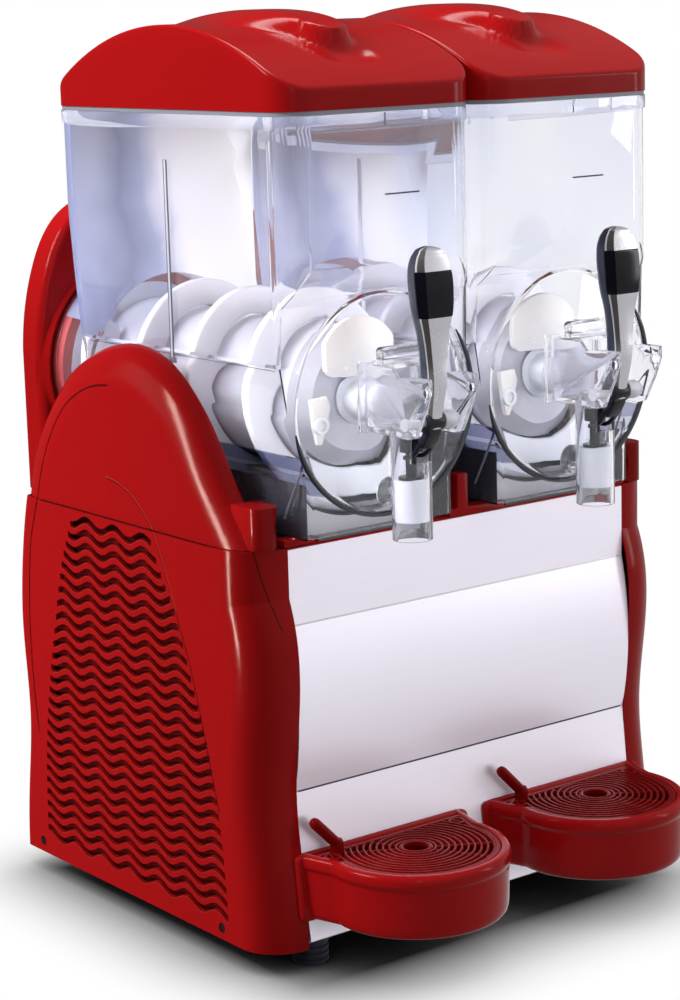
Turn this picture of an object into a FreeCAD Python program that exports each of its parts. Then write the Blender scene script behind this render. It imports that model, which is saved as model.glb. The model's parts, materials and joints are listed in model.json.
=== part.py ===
import FreeCAD, Part
import Sketcher
import math
import os
import re
from FreeCAD import Matrix, Placement, Rotation, Vector

# Twin-bowl slush machine, in millimetres.
# Frame: +Z up, the front faces -Y, origin on the floor below the middle of the machine.

doc = FreeCAD.newDocument("slush_machine")
sheet = doc.addObject("Spreadsheet::Sheet", "Sizes")

SIZES = [
    ("MachineTop", 870, "highest point of the lid ridges"),
    ("SteelHalf", 206, "half width of the steel front"),
    ("CoverHalf", 252, "outer face of the side covers"),
    ("FrontY", 137, "depth of the flat steel front, ahead of the origin"),
    ("RearY", 283, "rearmost edge of the side covers"),
    ("BodyBottom", 22, "lower edge of the side covers"),
    ("SeamZ", 398, "seam between louvre panels and arch covers"),
    ("SteelTop", 396, "top edge of the steel front"),
    ("CreaseZ", 326, "crease of the steel front"),
    ("PinchZ", 170, "waist line between the two steel panels"),
    ("SteelBulge", 9, "how far the steel front swells below its crease"),
    ("SteelFoot", 17, "how far the lower steel panel leans out at its foot"),
    ("Sheetmetal", 1.5, "thickness of the steel sheets"),
    ("Wall", 3, "thickness of the moulded covers"),
    ("Gap", 0.3, "clearance between neighbouring pieces"),
    ("ArchTop", 565, "top of the arch covers"),
    ("ArchInner", 224, "inner face of the arch covers"),
    ("CornerRound", 42, "rounding of the louvre panels' front corners"),
    ("RimReach", 46, "rounding of the arch covers' rim, measured across the face"),
    ("RimDepth", 26, "rounding of the arch covers' rim, measured across the width"),
    ("PostTop", 437, "top of the corner posts"),
    ("LouvrePitch", 13, "spacing of the louvre slots"),
    ("LouvreWave", 50, "length of one wave of a louvre slot"),
    ("LouvreSwing", 4, "half height of a slot's wave"),
    ("LouvreOpen", 5.4, "height of a slot"),
    ("LouvreRows", 27, "number of louvre slots"),
    ("BowlOffset", 112, "bowl centre from the machine's middle"),
    ("BowlHalf", 108, "half width of a bowl below its rim"),
    ("BowlFront", 174, "front face of a bowl, ahead of the origin"),
    ("BowlRear", 211, "rear face of a bowl's rim"),
    ("BowlCorner", 30, "upright corner radius of a bowl"),
    ("BowlWall", 3, "wall of the clear bowls"),
    ("AxisZ", 522, "height of the auger axis"),
    ("DrumRadius", 101, "outer radius of a bowl's lower half"),
    ("DrumFront", 165, "front end of a bowl's lower half"),
    ("DrumRear", 238, "open rear end of a bowl's lower half"),
    ("LedgeZ", 562, "crease along a bowl's sides"),
    ("RimLow", 768, "lower edge of a bowl's rim"),
    ("RimTop", 780, "top of a bowl's rim"),
    ("RimHalf", 110, "half width of a bowl's rim"),
    ("SkirtHalf", 85, "half width of the skirt below a bowl"),
    ("SkirtFront", 157, "front of the skirt"),
    ("SkirtRear", 150, "rear of the skirt"),
    ("DeckTop", 404, "top of the deck under the bowls"),
    ("OutletZ", 440, "height of a bowl's outlet"),
    ("OutletRadius", 11, "radius of a bowl's outlet"),
    ("LidLow", 784, "lower edge of a lid"),
    ("LidCrown", 859, "crown of a lid beside its ridge"),
    ("LidFrontTop", 803, "top of a lid's front band"),
    ("RidgeHalf", 21, "half width of a lid's ridge"),
    ("EvapRadius", 66, "radius of the cooling cylinder"),
    ("EvapFront", 118, "front end of the cooling cylinder"),
    ("FlangeRadius", 84, "radius of the cooling cylinder's rear flange"),
    ("AugerRadius", 96, "outer radius of the auger ribbon"),
    ("AugerInner", 69, "inner radius of the auger ribbon"),
    ("AugerBlade", 7, "thickness of the auger ribbon"),
    ("AugerPitch", 82, "rise of the auger ribbon in one turn"),
    ("AugerTurns", 4, "turns of the auger ribbon"),
    ("ShaftRadius", 9, "radius of the drive shaft"),
    ("RunningFit", 0.08, "radial clearance of a turning fit"),
    ("BossRadius", 117, "outer radius of the rear collars"),
    ("BossInner", 106, "inner radius of the rear collars"),
    ("HousingFront", 244, "front face of the rear housing"),
    ("HousingRear", 282, "rear face of the rear housing"),
    ("HousingTop", 690, "top of the rear housing"),
    ("HousingHalf", 228, "half width of the rear housing"),
    ("RearPanelY", 232, "outer face of the rear panel"),
    ("TubeY", 199, "tap axis, ahead of the origin"),
    ("TubeRadius", 18.4, "outer radius of the spout tube"),
    ("TubeBore", 15.4, "inner radius of the spout tube"),
    ("TubeLow", 402, "mouth of the spout tube"),
    ("TubeTop", 509, "top of the spout tube"),
    ("CheekHalf", 28, "outer face of the tap's cheeks"),
    ("CheekWall", 4, "thickness of the tap's cheeks"),
    ("CheekTop", 562, "top of the tap's cheeks"),
    ("PinY", 228, "lever pin, ahead of the origin"),
    ("PinZ", 512, "height of the lever pin"),
    ("PinRadius", 4, "radius of the lever pin"),
    ("PinHalf", 30.5, "half length of the lever pin"),
    ("HeadLow", 482, "underside of a piston head"),
    ("HeadTop", 494, "top of a piston head"),
    ("HeadRadius", 10, "radius of a piston head"),
    ("StemRadius", 5, "radius of a piston stem"),
    ("SleeveTop", 457, "top of a piston sleeve"),
    ("SleeveLow", 419, "lower end of a piston sleeve"),
    ("TrayTop", 113, "top of the drip trays"),
    ("TrayLow", 52, "underside of the drip trays"),
    ("TrayOffset", 113, "drip tray centre from the machine's middle"),
    ("TrayHoleY", 195, "centre of the tray's round front, ahead of the origin"),
    ("TrayRound", 88, "radius of the tray's round front"),
    ("TrayBack", 98, "half width of the tray at its back"),
    ("TrayWall", 3, "wall of the drip trays"),
    ("FlangeHalf", 103, "half width of the tray's back flange"),
    ("FootRadius", 17, "radius of a foot"),
    ("FootTop", 25.3, "height of a foot below the base"),
    ("FootX", 188, "feet from the machine's middle, sideways"),
    ("FootFrontY", 128, "front feet, ahead of the origin"),
    ("FootRearY", 205, "rear feet, behind the origin"),
    ("PanHalf", 239, "half width of the base pan"),
    ("PanFront", 112, "front of the base pan between the side covers, ahead of the origin"),
    ("PanNose", 146, "front of the base pan under the steel, ahead of the origin"),
    ("FrameHalf", 202, "outer face of the frame's uprights"),
    ("RailFront", 106, "front of the frame, ahead of the origin"),
    ("SwitchZ", 330, "height of the rocker switches"),
    ("GlandX", -120, "cable gland from the machine's middle"),
    ("GlandZ", 62, "height of the cable gland"),
    ("CompressorX", 98, "compressor from the machine's middle"),
    ("CompressorY", 60, "compressor, behind the origin"),
    ("FanZ", 190, "height of the fan's axis"),
    ("FanY", 60, "fan's axis, behind the origin"),
    ("FanRadius", 84, "radius of the fan"),
]

for row, (alias, value, meaning) in enumerate(SIZES, start=1):
    sheet.set(f"A{row}", meaning)
    sheet.set(f"B{row}", str(value))
    sheet.setAlias(f"B{row}", alias)
doc.recompute()

SIDES = {"left": -1, "right": 1}
nodes = []


def mm(alias):
    """The value of one named size."""
    return float(sheet.get(alias))


def bound(formula):
    """A formula of named sizes, written for an expression of the document."""
    return re.sub(r"\b[A-Z]\w+", lambda found: "Sizes." + found.group(0), str(formula))


def value_of(formula):
    """The number that a formula of named sizes gives now."""
    numbers = {alias: size for alias, size, meaning in SIZES}
    text = re.sub(r"\b[A-Z]\w+", lambda found: repr(float(numbers[found.group(0)])), str(formula))
    return FreeCAD.Units.Quantity(text).Value


def node(thing, label):
    """Names a finished sub-part."""
    thing.Label = label
    nodes.append(thing)
    return thing


def put(thing, x="0", y="0", z="0"):
    """Binds a thing's place to formulas."""
    for axis, formula in zip("xyz", (x, y, z)):
        thing.setExpression(f"Placement.Base.{axis}", bound(formula))
    return thing


def block(name, low, high):
    """A box between two corners, each three formulas."""
    box = doc.addObject("Part::Box", name)
    for side, first, last in zip(("Length", "Width", "Height"), low, high):
        box.setExpression(side, bound(f"({last}) - ({first})"))
    return put(box, *low)


TURNS = {
    "Z": Rotation(),
    "Y": Rotation(Vector(1, 0, 0), -90),
    "X": Rotation(Vector(0, 1, 0), 90),
}


def rod(name, radius, length, foot, along="Z"):
    """A cylinder that starts at foot and runs along one axis."""
    cylinder = doc.addObject("Part::Cylinder", name)
    cylinder.setExpression("Radius", bound(radius))
    cylinder.setExpression("Height", bound(length))
    cylinder.Placement.Rotation = TURNS[along]
    return put(cylinder, *foot)


def fused(name, pieces):
    """Several solids joined into one."""
    joined = doc.addObject("Part::MultiFuse", name)
    joined.Shapes = pieces
    return joined


def cut(name, base, tools):
    """A solid with other solids taken away from it."""
    whole = base
    for count, tool in enumerate(tools):
        result = doc.addObject("Part::Cut", f"{name}_{count}")
        result.Base = whole
        result.Tool = tool
        whole = result
    return whole


def shaped(name, shape, x="0"):
    """A piece whose surfaces are worked out below from the named sizes."""
    feature = doc.addObject("Part::Feature", name)
    feature.Shape = shape
    feature.setExpression("Placement.Base.x", bound(x))
    return feature


def mirrored(name, source):
    """The same piece on the other side of the machine."""
    twin = doc.addObject("Part::Mirroring", name)
    twin.Source = source
    twin.Normal = Vector(1, 0, 0)
    return twin


def plane_of(body, role):
    """One of a body's own origin planes."""
    return next(item for item in body.Origin.OriginFeatures if item.Role == role)


def arc_through(start, middle, end):
    """An arc that a sketch accepts, and whether it had to be drawn from its end to its start."""
    circle = Part.Arc(start, middle, end).toShape().Curve
    centre = circle.Center
    clockwise = (middle - start).cross(end - middle).z < 0
    first, last = (end, start) if clockwise else (start, end)
    angles = [math.atan2(point.y - centre.y, point.x - centre.x) for point in (first, last)]
    flat = Part.Circle(centre, Vector(0, 0, 1), circle.Radius)
    return Part.ArcOfCircle(flat, angles[0], angles[1]), clockwise


def outline_sketch(body, role, outline):
    """A closed sketch: each corner is (across, up), or (across, up, via across, via up) where an arc ends."""
    sketch = body.newObject("Sketcher::SketchObject", body.Name + "_outline")
    sketch.AttachmentSupport = [(plane_of(body, role), "")]
    sketch.MapMode = "FlatFace"
    corners = [Vector(value_of(step[0]), value_of(step[1]), 0) for step in outline]
    edges = []
    for index, step in enumerate(outline):
        start, end = corners[index - 1], corners[index]
        backwards = False
        edge = Part.LineSegment(start, end)
        if len(step) == 4:
            middle = Vector(value_of(step[2]), value_of(step[3]), 0)
            edge, backwards = arc_through(start, middle, end)
        edges.append((sketch.addGeometry(edge, False), backwards))
    for index, step in enumerate(outline):
        edge, backwards = edges[index]
        following, next_backwards = edges[(index + 1) % len(edges)]
        end = 1 if backwards else 2
        begin = 2 if next_backwards else 1
        sketch.addConstraint(Sketcher.Constraint("Coincident", edge, end, following, begin))
        hold(sketch, edge, end, step[0], step[1])
        if len(step) == 4:
            via = sketch.addGeometry(Part.Point(Vector(value_of(step[2]), value_of(step[3]), 0)), True)
            sketch.addConstraint(Sketcher.Constraint("PointOnObject", via, 1, edge))
            hold(sketch, via, 1, step[2], step[3])
    return sketch


def hold(sketch, shape, point, across, up):
    """Ties one point of a sketch to formulas."""
    for kind, formula in (("DistanceX", across), ("DistanceY", up)):
        row = sketch.addConstraint(Sketcher.Constraint(kind, -1, 1, shape, point, value_of(formula)))
        sketch.setExpression(f"Constraints[{row}]", bound(formula))


def pressed(name, role, outline, length):
    """A body padded evenly to both sides of its sketch."""
    body = doc.addObject("PartDesign::Body", name)
    sketch = outline_sketch(body, role, outline)
    pad = body.newObject("PartDesign::Pad", name + "_pad")
    pad.Profile = sketch
    pad.Midplane = True
    pad.setExpression("Length", bound(length))
    sketch.Visibility = False
    return body


def turned(name, profile, foot, along="Z"):
    """A body turned about its own axis: the profile is (radius, height) from its foot."""
    body = doc.addObject("PartDesign::Body", name)
    sketch = outline_sketch(body, "XZ_Plane", profile)
    turning = body.newObject("PartDesign::Revolution", name + "_turning")
    turning.Profile = sketch
    turning.ReferenceAxis = (sketch, ["V_Axis"])
    turning.Angle = 360
    body.Placement.Rotation = TURNS[along]
    return put(body, *foot)


def steel_front():
    """The folded stainless panel below the bowls, flat above its crease and swelling below it."""
    front, back = "-FrontY", "-FrontY + Sheetmetal"
    middle = "(CreaseZ + PinchZ) / 2"
    outline = [
        (front, "SteelTop"),
        (front, "CreaseZ"),
        (front, "PinchZ + Gap", f"{front} - SteelBulge", middle),
        (back, "PinchZ + Gap"),
        (back, "CreaseZ", f"{back} - SteelBulge", middle),
        (back, "SteelTop - Sheetmetal"),
        ("-RailFront", "SteelTop - Sheetmetal"),
        ("-RailFront", "SteelTop"),
    ]
    return node(pressed("steel_front", "YZ_Plane", outline, "2 * SteelHalf - 2 * Gap"), "front_panel")


def steel_foot():
    """The lower stainless panel, which leans out towards its foot."""
    foot = "-FrontY - SteelFoot"
    outline = [
        ("-FrontY", "PinchZ - Gap"),
        (foot, "30", "-FrontY - 6.5", "105"),
        ("-PanNose", "30"),
        ("-PanNose", "30 + Sheetmetal"),
        (f"{foot} + Sheetmetal", "30 + Sheetmetal"),
        ("-FrontY + Sheetmetal", "PinchZ - Gap", "-FrontY - 6.5 + Sheetmetal", "105"),
    ]
    return node(pressed("steel_foot", "YZ_Plane", outline, "2 * SteelHalf - 2 * Gap"), "lower_front_panel")


def arc_edge(start, middle, end):
    """An arc through three points."""
    return Part.Arc(start, middle, end).toShape()


def line_edge(start, end):
    """A straight edge."""
    return Part.LineSegment(start, end).toShape()


def side_point(y, z):
    """A point of an outline that is seen from the machine's side."""
    return Vector(0, y, z)


def side_prism(edges, start, end):
    """A side outline carried from one x to another."""
    face = Part.Face(Part.Wire(Part.__sortEdges__(edges)))
    solid = face.extrude(Vector(end - start, 0, 0))
    solid.translate(Vector(start, 0, 0))
    return solid


def smooth_edge(points):
    """One smooth curve through a few points."""
    curve = Part.BSplineCurve()
    curve.interpolate(points)
    return curve.toShape()


def louvre_outline(inset):
    """The louvre panel's side outline, drawn in by inset."""
    front, low, seam = -mm("FrontY") + inset, mm("BodyBottom") + inset, mm("SeamZ") - mm("Gap")
    pinch = mm("PinchZ") - 6
    shoulder = side_point(front, 352)
    front_line = [shoulder, side_point(front - 11.4, 255), side_point(front - 2, pinch),
                  side_point(front - 7.5, 105), side_point(front - 14, low)]
    rear_line = [side_point(mm("RearY") - inset, low), side_point(277 - inset, 88), side_point(267 - inset, pinch),
                 side_point(272 - inset, 262), side_point(265 - inset, 335), side_point(250 - inset, seam)]
    top_front = side_point(front, seam)
    return [
        line_edge(top_front, shoulder),
        smooth_edge(front_line),
        line_edge(front_line[-1], rear_line[0]),
        smooth_edge(rear_line),
        line_edge(rear_line[-1], top_front),
    ]


def arch_outline(inset):
    """The arch cover's side outline, drawn in by inset: one smooth curve from the front foot to the rear foot."""
    points = [
        (-130, mm("SeamZ") + mm("Gap")),
        (-119, 412),
        (-103, 431),
        (-82, 458.5),
        (-55, 498),
        (-27, 527.5),
        (8, 552),
        (62, mm("ArchTop")),
        (104, 560.5),
        (136, 549.5),
        (174, 529),
        (199, 506),
        (232, 466),
        (252, 426),
        (260, mm("SeamZ") + mm("Gap")),
    ]
    curve = [side_point(points[0][0] + inset, points[0][1])]
    for before, (y, z), after in zip(points, points[1:], points[2:]):
        run, rise = after[0] - before[0], after[1] - before[1]
        length = math.hypot(run, rise)
        curve.append(side_point(y + inset * rise / length, z - inset * run / length))
    curve.append(side_point(points[-1][0] - inset, points[-1][1]))
    return [smooth_edge(curve), line_edge(curve[-1], curve[0])]


def soft_rim(outline, inner_x, outer_x, reach, depth):
    """A side prism whose outer rim is a quarter ellipse: a round rim made on a wider prism, then pressed narrower."""
    stretch = reach / depth
    width = (outer_x - inner_x) * stretch
    wide = side_prism(outline, 0, width)
    wide = wide.makeFillet(reach, outer_edges(wide, width, mm("SeamZ")))
    narrower = Matrix()
    narrower.scale(1 / stretch, 1, 1)
    pressed_shape = wide.transformGeometry(narrower)
    pressed_shape.translate(Vector(inner_x, 0, 0))
    return pressed_shape


def outer_edges(solid, face_x, skip_z):
    """The long edges round a cover's outer face, without those on its seam."""
    chosen = []
    for edge in solid.Edges:
        box = edge.BoundBox
        on_face = abs(box.XMin - face_x) < 1e-3 and abs(box.XMax - face_x) < 1e-3
        on_seam = box.ZLength < 1e-3 and abs(box.ZMin - skip_z) < 1.0
        if on_face and not on_seam:
            chosen.append(edge)
    return chosen


def louvre_slot(row):
    """One wavy slot: two sine lines joined at their ends, pushed through the cover's wall."""
    height = mm("SeamZ") - 12 - row * mm("LouvrePitch")
    spread = 1 - (1 - row / mm("LouvreRows")) ** 2
    rear = 160 + 74 * spread
    front = 16 - 104 * spread
    wave, swing, half = mm("LouvreWave"), mm("LouvreSwing"), mm("LouvreOpen") / 2
    steps = int((rear - front) / wave * 6)
    lines = []
    for lift in (half, -half):
        points = []
        for step in range(steps + 1):
            y = front + (rear - front) * step / steps
            z = height + lift + swing * math.cos(2 * math.pi * (y - 131) / wave)
            points.append(side_point(y, z))
        curve = Part.BSplineCurve()
        curve.interpolate(points)
        lines.append((curve.toShape(), points[0], points[-1]))
    (upper, upper_start, upper_end), (lower, lower_start, lower_end) = lines
    ends = [line_edge(upper_start, lower_start), line_edge(upper_end, lower_end)]
    inner = mm("CoverHalf") - 3 * mm("Wall")
    return side_prism([upper, lower] + ends, inner, mm("CoverHalf") + 5)


def louvre_panel():
    """The right louvre panel: a shell with a rounded outer edge and rows of wavy slots."""
    inner_x, outer_x, wall = mm("SteelHalf"), mm("CoverHalf"), mm("Wall")
    radius = mm("CornerRound")
    solid = side_prism(louvre_outline(0), inner_x, outer_x)
    solid = solid.makeFillet(radius, front_edges(solid, outer_x))
    solid = solid.makeFillet(12, rear_edges(solid, outer_x))
    core = side_prism(louvre_outline(wall), inner_x - 1, outer_x - wall)
    core = core.makeFillet(radius - wall, front_edges(core, outer_x - wall))
    core = core.makeFillet(12 - wall, rear_edges(core, outer_x - wall))
    shell = solid.cut(core)
    slots = [louvre_slot(row) for row in range(int(mm("LouvreRows")))]
    return shell.cut(Part.makeCompound(slots))


def front_edges(solid, face_x):
    """The edges down the front of a cover's outer face."""
    return [edge for edge in outer_edges(solid, face_x, mm("SeamZ")) if edge.BoundBox.YMax < -100]


def rear_edges(solid, face_x):
    """The edges down the rear of a cover's outer face."""
    return [edge for edge in outer_edges(solid, face_x, mm("SeamZ")) if edge.BoundBox.YMin > 200]


def arch_cover():
    """The right arch cover with its corner post."""
    inner_x, outer_x, wall = mm("ArchInner"), mm("CoverHalf"), mm("Wall")
    seam, steel, front = mm("SeamZ") + mm("Gap"), mm("SteelHalf"), mm("FrontY")
    reach, depth = mm("RimReach"), mm("RimDepth")
    solid = soft_rim(arch_outline(0), inner_x, outer_x, reach, depth)
    post = Part.makeBox(28, 40, mm("PostTop") - seam, Vector(steel + 4, -front, seam))
    upright = [edge for edge in post.Edges if edge.BoundBox.ZLength > 30 and edge.BoundBox.YMax < -130]
    post = post.makeFillet(13.5, upright)
    post = post.cut(Part.makeCylinder(13, 60, Vector(steel - 2, -front - 10, seam + 19), Vector(0, 1, 0)))
    core = soft_rim(arch_outline(wall), inner_x + wall, outer_x - wall, reach - wall, depth - 1.7 * wall)
    core.translate(Vector(0, 0, -0.01))
    beside_housing = Part.makeBox(mm("HousingHalf") + mm("Gap") - inner_x + 1, 60, 200,
                                  Vector(inner_x - 1, mm("HousingFront") - mm("Gap"), seam - 1))
    shell = solid.cut(core).fuse(post.cut(core))
    return shell.cut(beside_housing)


def plan_prism(half, front, rear, corner, low, high):
    """An upright prism with a rounded rectangular plan."""
    box = Part.makeBox(2 * half, rear + front, high - low, Vector(-half, -front, low))
    upright = [edge for edge in box.Edges if edge.BoundBox.ZLength > high - low - 1e-3]
    return box.makeFillet(corner, upright)


def hopper(inset, top):
    """A bowl's upper part: straight walls whose lower front curls back to the crease."""
    half, front, rear = mm("BowlHalf") - inset, mm("BowlFront") - 2 - inset, mm("BowlRear") - 2 - inset
    ledge = mm("LedgeZ") + inset
    curl_top = side_point(-front, 652)
    curl_end = side_point(-front + 17, 615)
    outline = [
        line_edge(side_point(-front, top), curl_top),
        arc_edge(curl_top, side_point(-front + 5, 632), curl_end),
        line_edge(curl_end, side_point(-front + 20, ledge)),
        line_edge(side_point(-front + 20, ledge), side_point(rear - 36, ledge)),
        line_edge(side_point(rear - 36, ledge), side_point(rear - 24, 653)),
        line_edge(side_point(rear - 24, 653), side_point(rear, top)),
        line_edge(side_point(rear, top), side_point(-front, top)),
    ]
    plan = plan_prism(half, front, rear, mm("BowlCorner") - inset, ledge, top)
    return side_prism(outline, -half, half).common(plan)


def shoulder(inset):
    """The part of a bowl that narrows from the side crease to the drum."""
    half, axis = mm("BowlHalf") - inset, mm("AxisZ")
    front, rear = mm("BowlFront") - 22 - inset, mm("BowlRear") - 38 - inset
    low, high = axis - 8, mm("LedgeZ") + inset
    corners = [(-half, high), (-half + 8, low), (half - 8, low), (half, high), (-half, high)]
    face = Part.Face(Part.makePolygon([Vector(x, -front, z) for x, z in corners]))
    return face.extrude(Vector(0, front + rear, 0))


def drum(radius, front, rear):
    """A lying cylinder about the auger's axis, its seam turned away from its sides."""
    cylinder = Part.makeCylinder(radius, front + rear, Vector(0, -front, mm("AxisZ")), Vector(0, 1, 0))
    cylinder.rotate(Vector(0, 0, mm("AxisZ")), Vector(0, 1, 0), 90)
    return cylinder


def bowl_shape():
    """A clear bowl: hopper, shoulder and drum in one wall, with its rim, clip tab and skirt."""
    wall, low = mm("BowlWall"), mm("DeckTop") + 3
    radius, front, rear = mm("DrumRadius"), mm("DrumFront"), mm("DrumRear")
    rim_high, rim_low = mm("RimTop"), mm("RimLow")
    outer_drum = drum(radius, front, rear)
    nose = [edge for edge in outer_drum.Edges if edge.BoundBox.YMax < -front + 1 and edge.BoundBox.XLength > radius]
    outer_drum = outer_drum.makeFillet(5, nose)
    rim = plan_prism(mm("RimHalf"), mm("BowlFront"), mm("BowlRear"), mm("BowlCorner") + 2, rim_low, rim_high)
    skirt = plan_prism(mm("SkirtHalf"), mm("SkirtFront"), mm("SkirtRear"), 8, low, mm("AxisZ") - 40)
    hollow = plan_prism(mm("SkirtHalf") - wall, mm("SkirtFront") - wall, mm("SkirtRear") + 9, 5, low - 1,
                        mm("AxisZ") - 40)
    skirt = skirt.cut(hollow).cut(drum(radius - wall / 2, front - wall / 2, rear))
    tab = Part.makeBox(47, 4, rim_high - rim_low - 1, Vector(-2, -mm("BowlFront") - 3, rim_low + 0.5))
    outer = hopper(0, rim_low).fuse([shoulder(0), outer_drum, rim])
    inner = hopper(wall, rim_low).fuse([shoulder(wall), drum(radius - wall, front - wall, rear + 1)])
    mouth = plan_prism(mm("BowlHalf") - wall, mm("BowlFront") - 2 - wall, mm("BowlRear") - 2 - wall,
                       mm("BowlCorner") - wall, rim_low - 0.01, rim_high + 1)
    outlet = Part.makeCylinder(mm("OutletRadius"), 30, Vector(0, -front - 10, mm("OutletZ")), Vector(0, 1, 0))
    shell = outer.cut(inner).cut(mouth).fuse([skirt, tab])
    return shell.cut(outlet).removeSplitter()


def lid_body(inset):
    """A lid without its ridge, drawn in by inset."""
    front, rear, half = mm("BowlFront") - inset, mm("BowlRear") - inset, mm("RimHalf") - inset
    low = mm("LidLow") - (1 if inset else 0)
    past = 6
    front_top = side_point(-front - past, mm("LidFrontTop") - 4 - inset)
    crown = side_point(4, mm("LidCrown") - inset)
    rear_top = side_point(rear - 14, mm("LidFrontTop") - inset)
    rear_edge = side_point(rear + past, mm("LidFrontTop") - 10 - inset)
    outline = [
        line_edge(side_point(-front - past, low), front_top),
        arc_edge(front_top, crown, rear_top),
        line_edge(rear_top, rear_edge),
        line_edge(rear_edge, side_point(rear + past, low)),
        line_edge(side_point(rear + past, low), side_point(-front - past, low)),
    ]
    plan = plan_prism(half, front, rear, mm("BowlCorner") + 2 - inset, low, mm("LidCrown") + 5)
    return side_prism(outline, -half, half).common(plan)


def lid_shape():
    """A lid: a hollow vault with a raised ridge to lift it by and a finger dish ahead of the ridge."""
    half = mm("RidgeHalf")
    low = mm("LidCrown") - 32
    outline = [
        arc_edge(side_point(-110, 850), side_point(24, mm("MachineTop")), side_point(106, 862)),
        line_edge(side_point(106, 862), side_point(106, low)),
        line_edge(side_point(106, low), side_point(-110, low)),
        line_edge(side_point(-110, low), side_point(-110, 850)),
    ]
    ridge = side_prism(outline, -half, half)
    upright = [edge for edge in ridge.Edges if edge.BoundBox.XLength < 1e-3 and edge.BoundBox.YLength < 1e-3]
    ridge = ridge.makeFillet(14, upright)
    ridge = ridge.cut(lid_body(mm("Wall")))
    dish = Part.makeSphere(48, Vector(0, -124, 890))
    shell = lid_body(0).fuse(ridge).cut(lid_body(mm("Wall")))
    return shell.cut(dish).removeSplitter()


def auger_shape():
    """The white auger: a ribbon wound round the cooling cylinder, tied to its front hub by an arm."""
    outer, inner, blade = mm("AugerRadius"), mm("AugerInner"), mm("AugerBlade")
    rise = mm("AugerPitch") * mm("AugerTurns")
    helix = Part.makeHelix(mm("AugerPitch"), rise, outer)
    section = Part.makePolygon([Vector(x, 0, z) for x, z in (
        (inner, -blade / 2), (outer, -blade / 2), (outer, blade / 2), (inner, blade / 2), (inner, -blade / 2))])
    ribbon = Part.Wire(helix).makePipeShell([section], True, True)
    arm = Part.makeBox(outer - 4, 22, blade, Vector(0, -11, -blade / 2 - 3))
    hub = Part.makeCylinder(24, 16, Vector(0, 0, -15))
    bore = Part.makeCylinder(mm("ShaftRadius"), 40, Vector(0, 0, -20))
    auger = ribbon.fuse([arm, hub]).cut(bore)
    auger.rotate(Vector(0, 0, 0), Vector(1, 0, 0), -90)
    auger.translate(Vector(0, -mm("EvapFront") - 10, mm("AxisZ")))
    return auger


def rounded_section(y, z, half_across, half_deep, corner):
    """A level rounded rectangle round (0, y, z)."""
    box = Part.makePlane(2 * half_across, 2 * half_deep, Vector(-half_across, y - half_deep, z))
    wire = box.OuterWire
    points = [vertex.Point for vertex in wire.OrderedVertexes]
    edges = []
    for index, point in enumerate(points):
        before = (points[index - 1] - point).normalize() * corner
        after = (points[(index + 1) % 4] - point).normalize() * corner
        inward = (before + after) * (1 - math.sqrt(0.5))
        following = points[(index + 1) % 4]
        edges.append(arc_edge(point + before, point + inward, point + after))
        edges.append(line_edge(point + after, following - (following - point).normalize() * corner))
    return Part.Wire(edges)


LEVER_STATIONS = [
    (228, 518, 9, 8.5),
    (234, 545, 10, 7.5),
    (234, 570, 12, 7),
    (234, 592, 15, 8),
    (233, 618, 20, 10.5),
    (232, 640, 20, 11),
    (231, 656, 16, 9),
    (230, 666, 8, 4.5),
]


def lever_shape():
    """A tap lever: a broad grip, a hub round the pin and a fork that reaches under the piston's head."""
    pin_y, pin_z, radius = -mm("PinY"), mm("PinZ"), mm("PinRadius")
    sections = [rounded_section(-y, z, across, deep, deep * 0.6) for y, z, across, deep in LEVER_STATIONS]
    grip = Part.makeLoft(sections, True, False)
    hub = Part.makeCylinder(12, 20, Vector(-10, pin_y, pin_z), Vector(1, 0, 0))
    bore = Part.makeCylinder(radius + mm("RunningFit"), 30, Vector(-15, pin_y, pin_z), Vector(1, 0, 0))
    pocket = Part.makeCylinder(10, 14, Vector(-7, pin_y, pin_z), Vector(1, 0, 0))
    tip_y, tip_z = -mm("TubeY") - 3, mm("HeadLow") - 3 - mm("Gap")
    stem = mm("StemRadius") + 0.8
    prongs = []
    for low, high in ((-mm("HeadRadius") + 0.4, -stem), (stem, mm("HeadRadius") - 0.4)):
        tip = Part.makeCylinder(3, high - low, Vector(low, tip_y, tip_z), Vector(1, 0, 0))
        bar = side_prism([
            line_edge(side_point(tip_y, tip_z - 3), side_point(tip_y, tip_z + 3)),
            line_edge(side_point(tip_y, tip_z + 3), side_point(tip_y - 12, tip_z + 3)),
            line_edge(side_point(tip_y - 12, tip_z + 3), side_point(pin_y + 8, pin_z - 6)),
            line_edge(side_point(pin_y + 8, pin_z - 6), side_point(pin_y - 4, pin_z - 10)),
            line_edge(side_point(pin_y - 4, pin_z - 10), side_point(pin_y + 10, tip_z - 3)),
            line_edge(side_point(pin_y + 10, tip_z - 3), side_point(tip_y, tip_z - 3)),
        ], low, high)
        prongs += [tip, bar]
    lever = grip.fuse([hub] + prongs).cut(pocket)
    return lever.cut(bore).removeSplitter()


def tray_wire(inset, z):
    """The D-shaped plan of a drip tray, drawn in by inset."""
    back = -mm("FrontY") - mm("SteelFoot") + 8
    half, radius = mm("TrayBack") - inset, mm("TrayRound") - inset
    middle = -mm("TrayHoleY")
    flank = math.radians(8)
    right = Vector(radius * math.cos(flank), middle + radius * math.sin(flank), z)
    left = Vector(-right.x, right.y, z)
    front = Vector(0, middle - radius, z)
    back_left, back_right = Vector(-half, back - inset, z), Vector(half, back - inset, z)
    return Part.Wire([
        arc_edge(left, front, right),
        line_edge(right, back_right),
        line_edge(back_right, back_left),
        line_edge(back_left, left),
    ])


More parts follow.
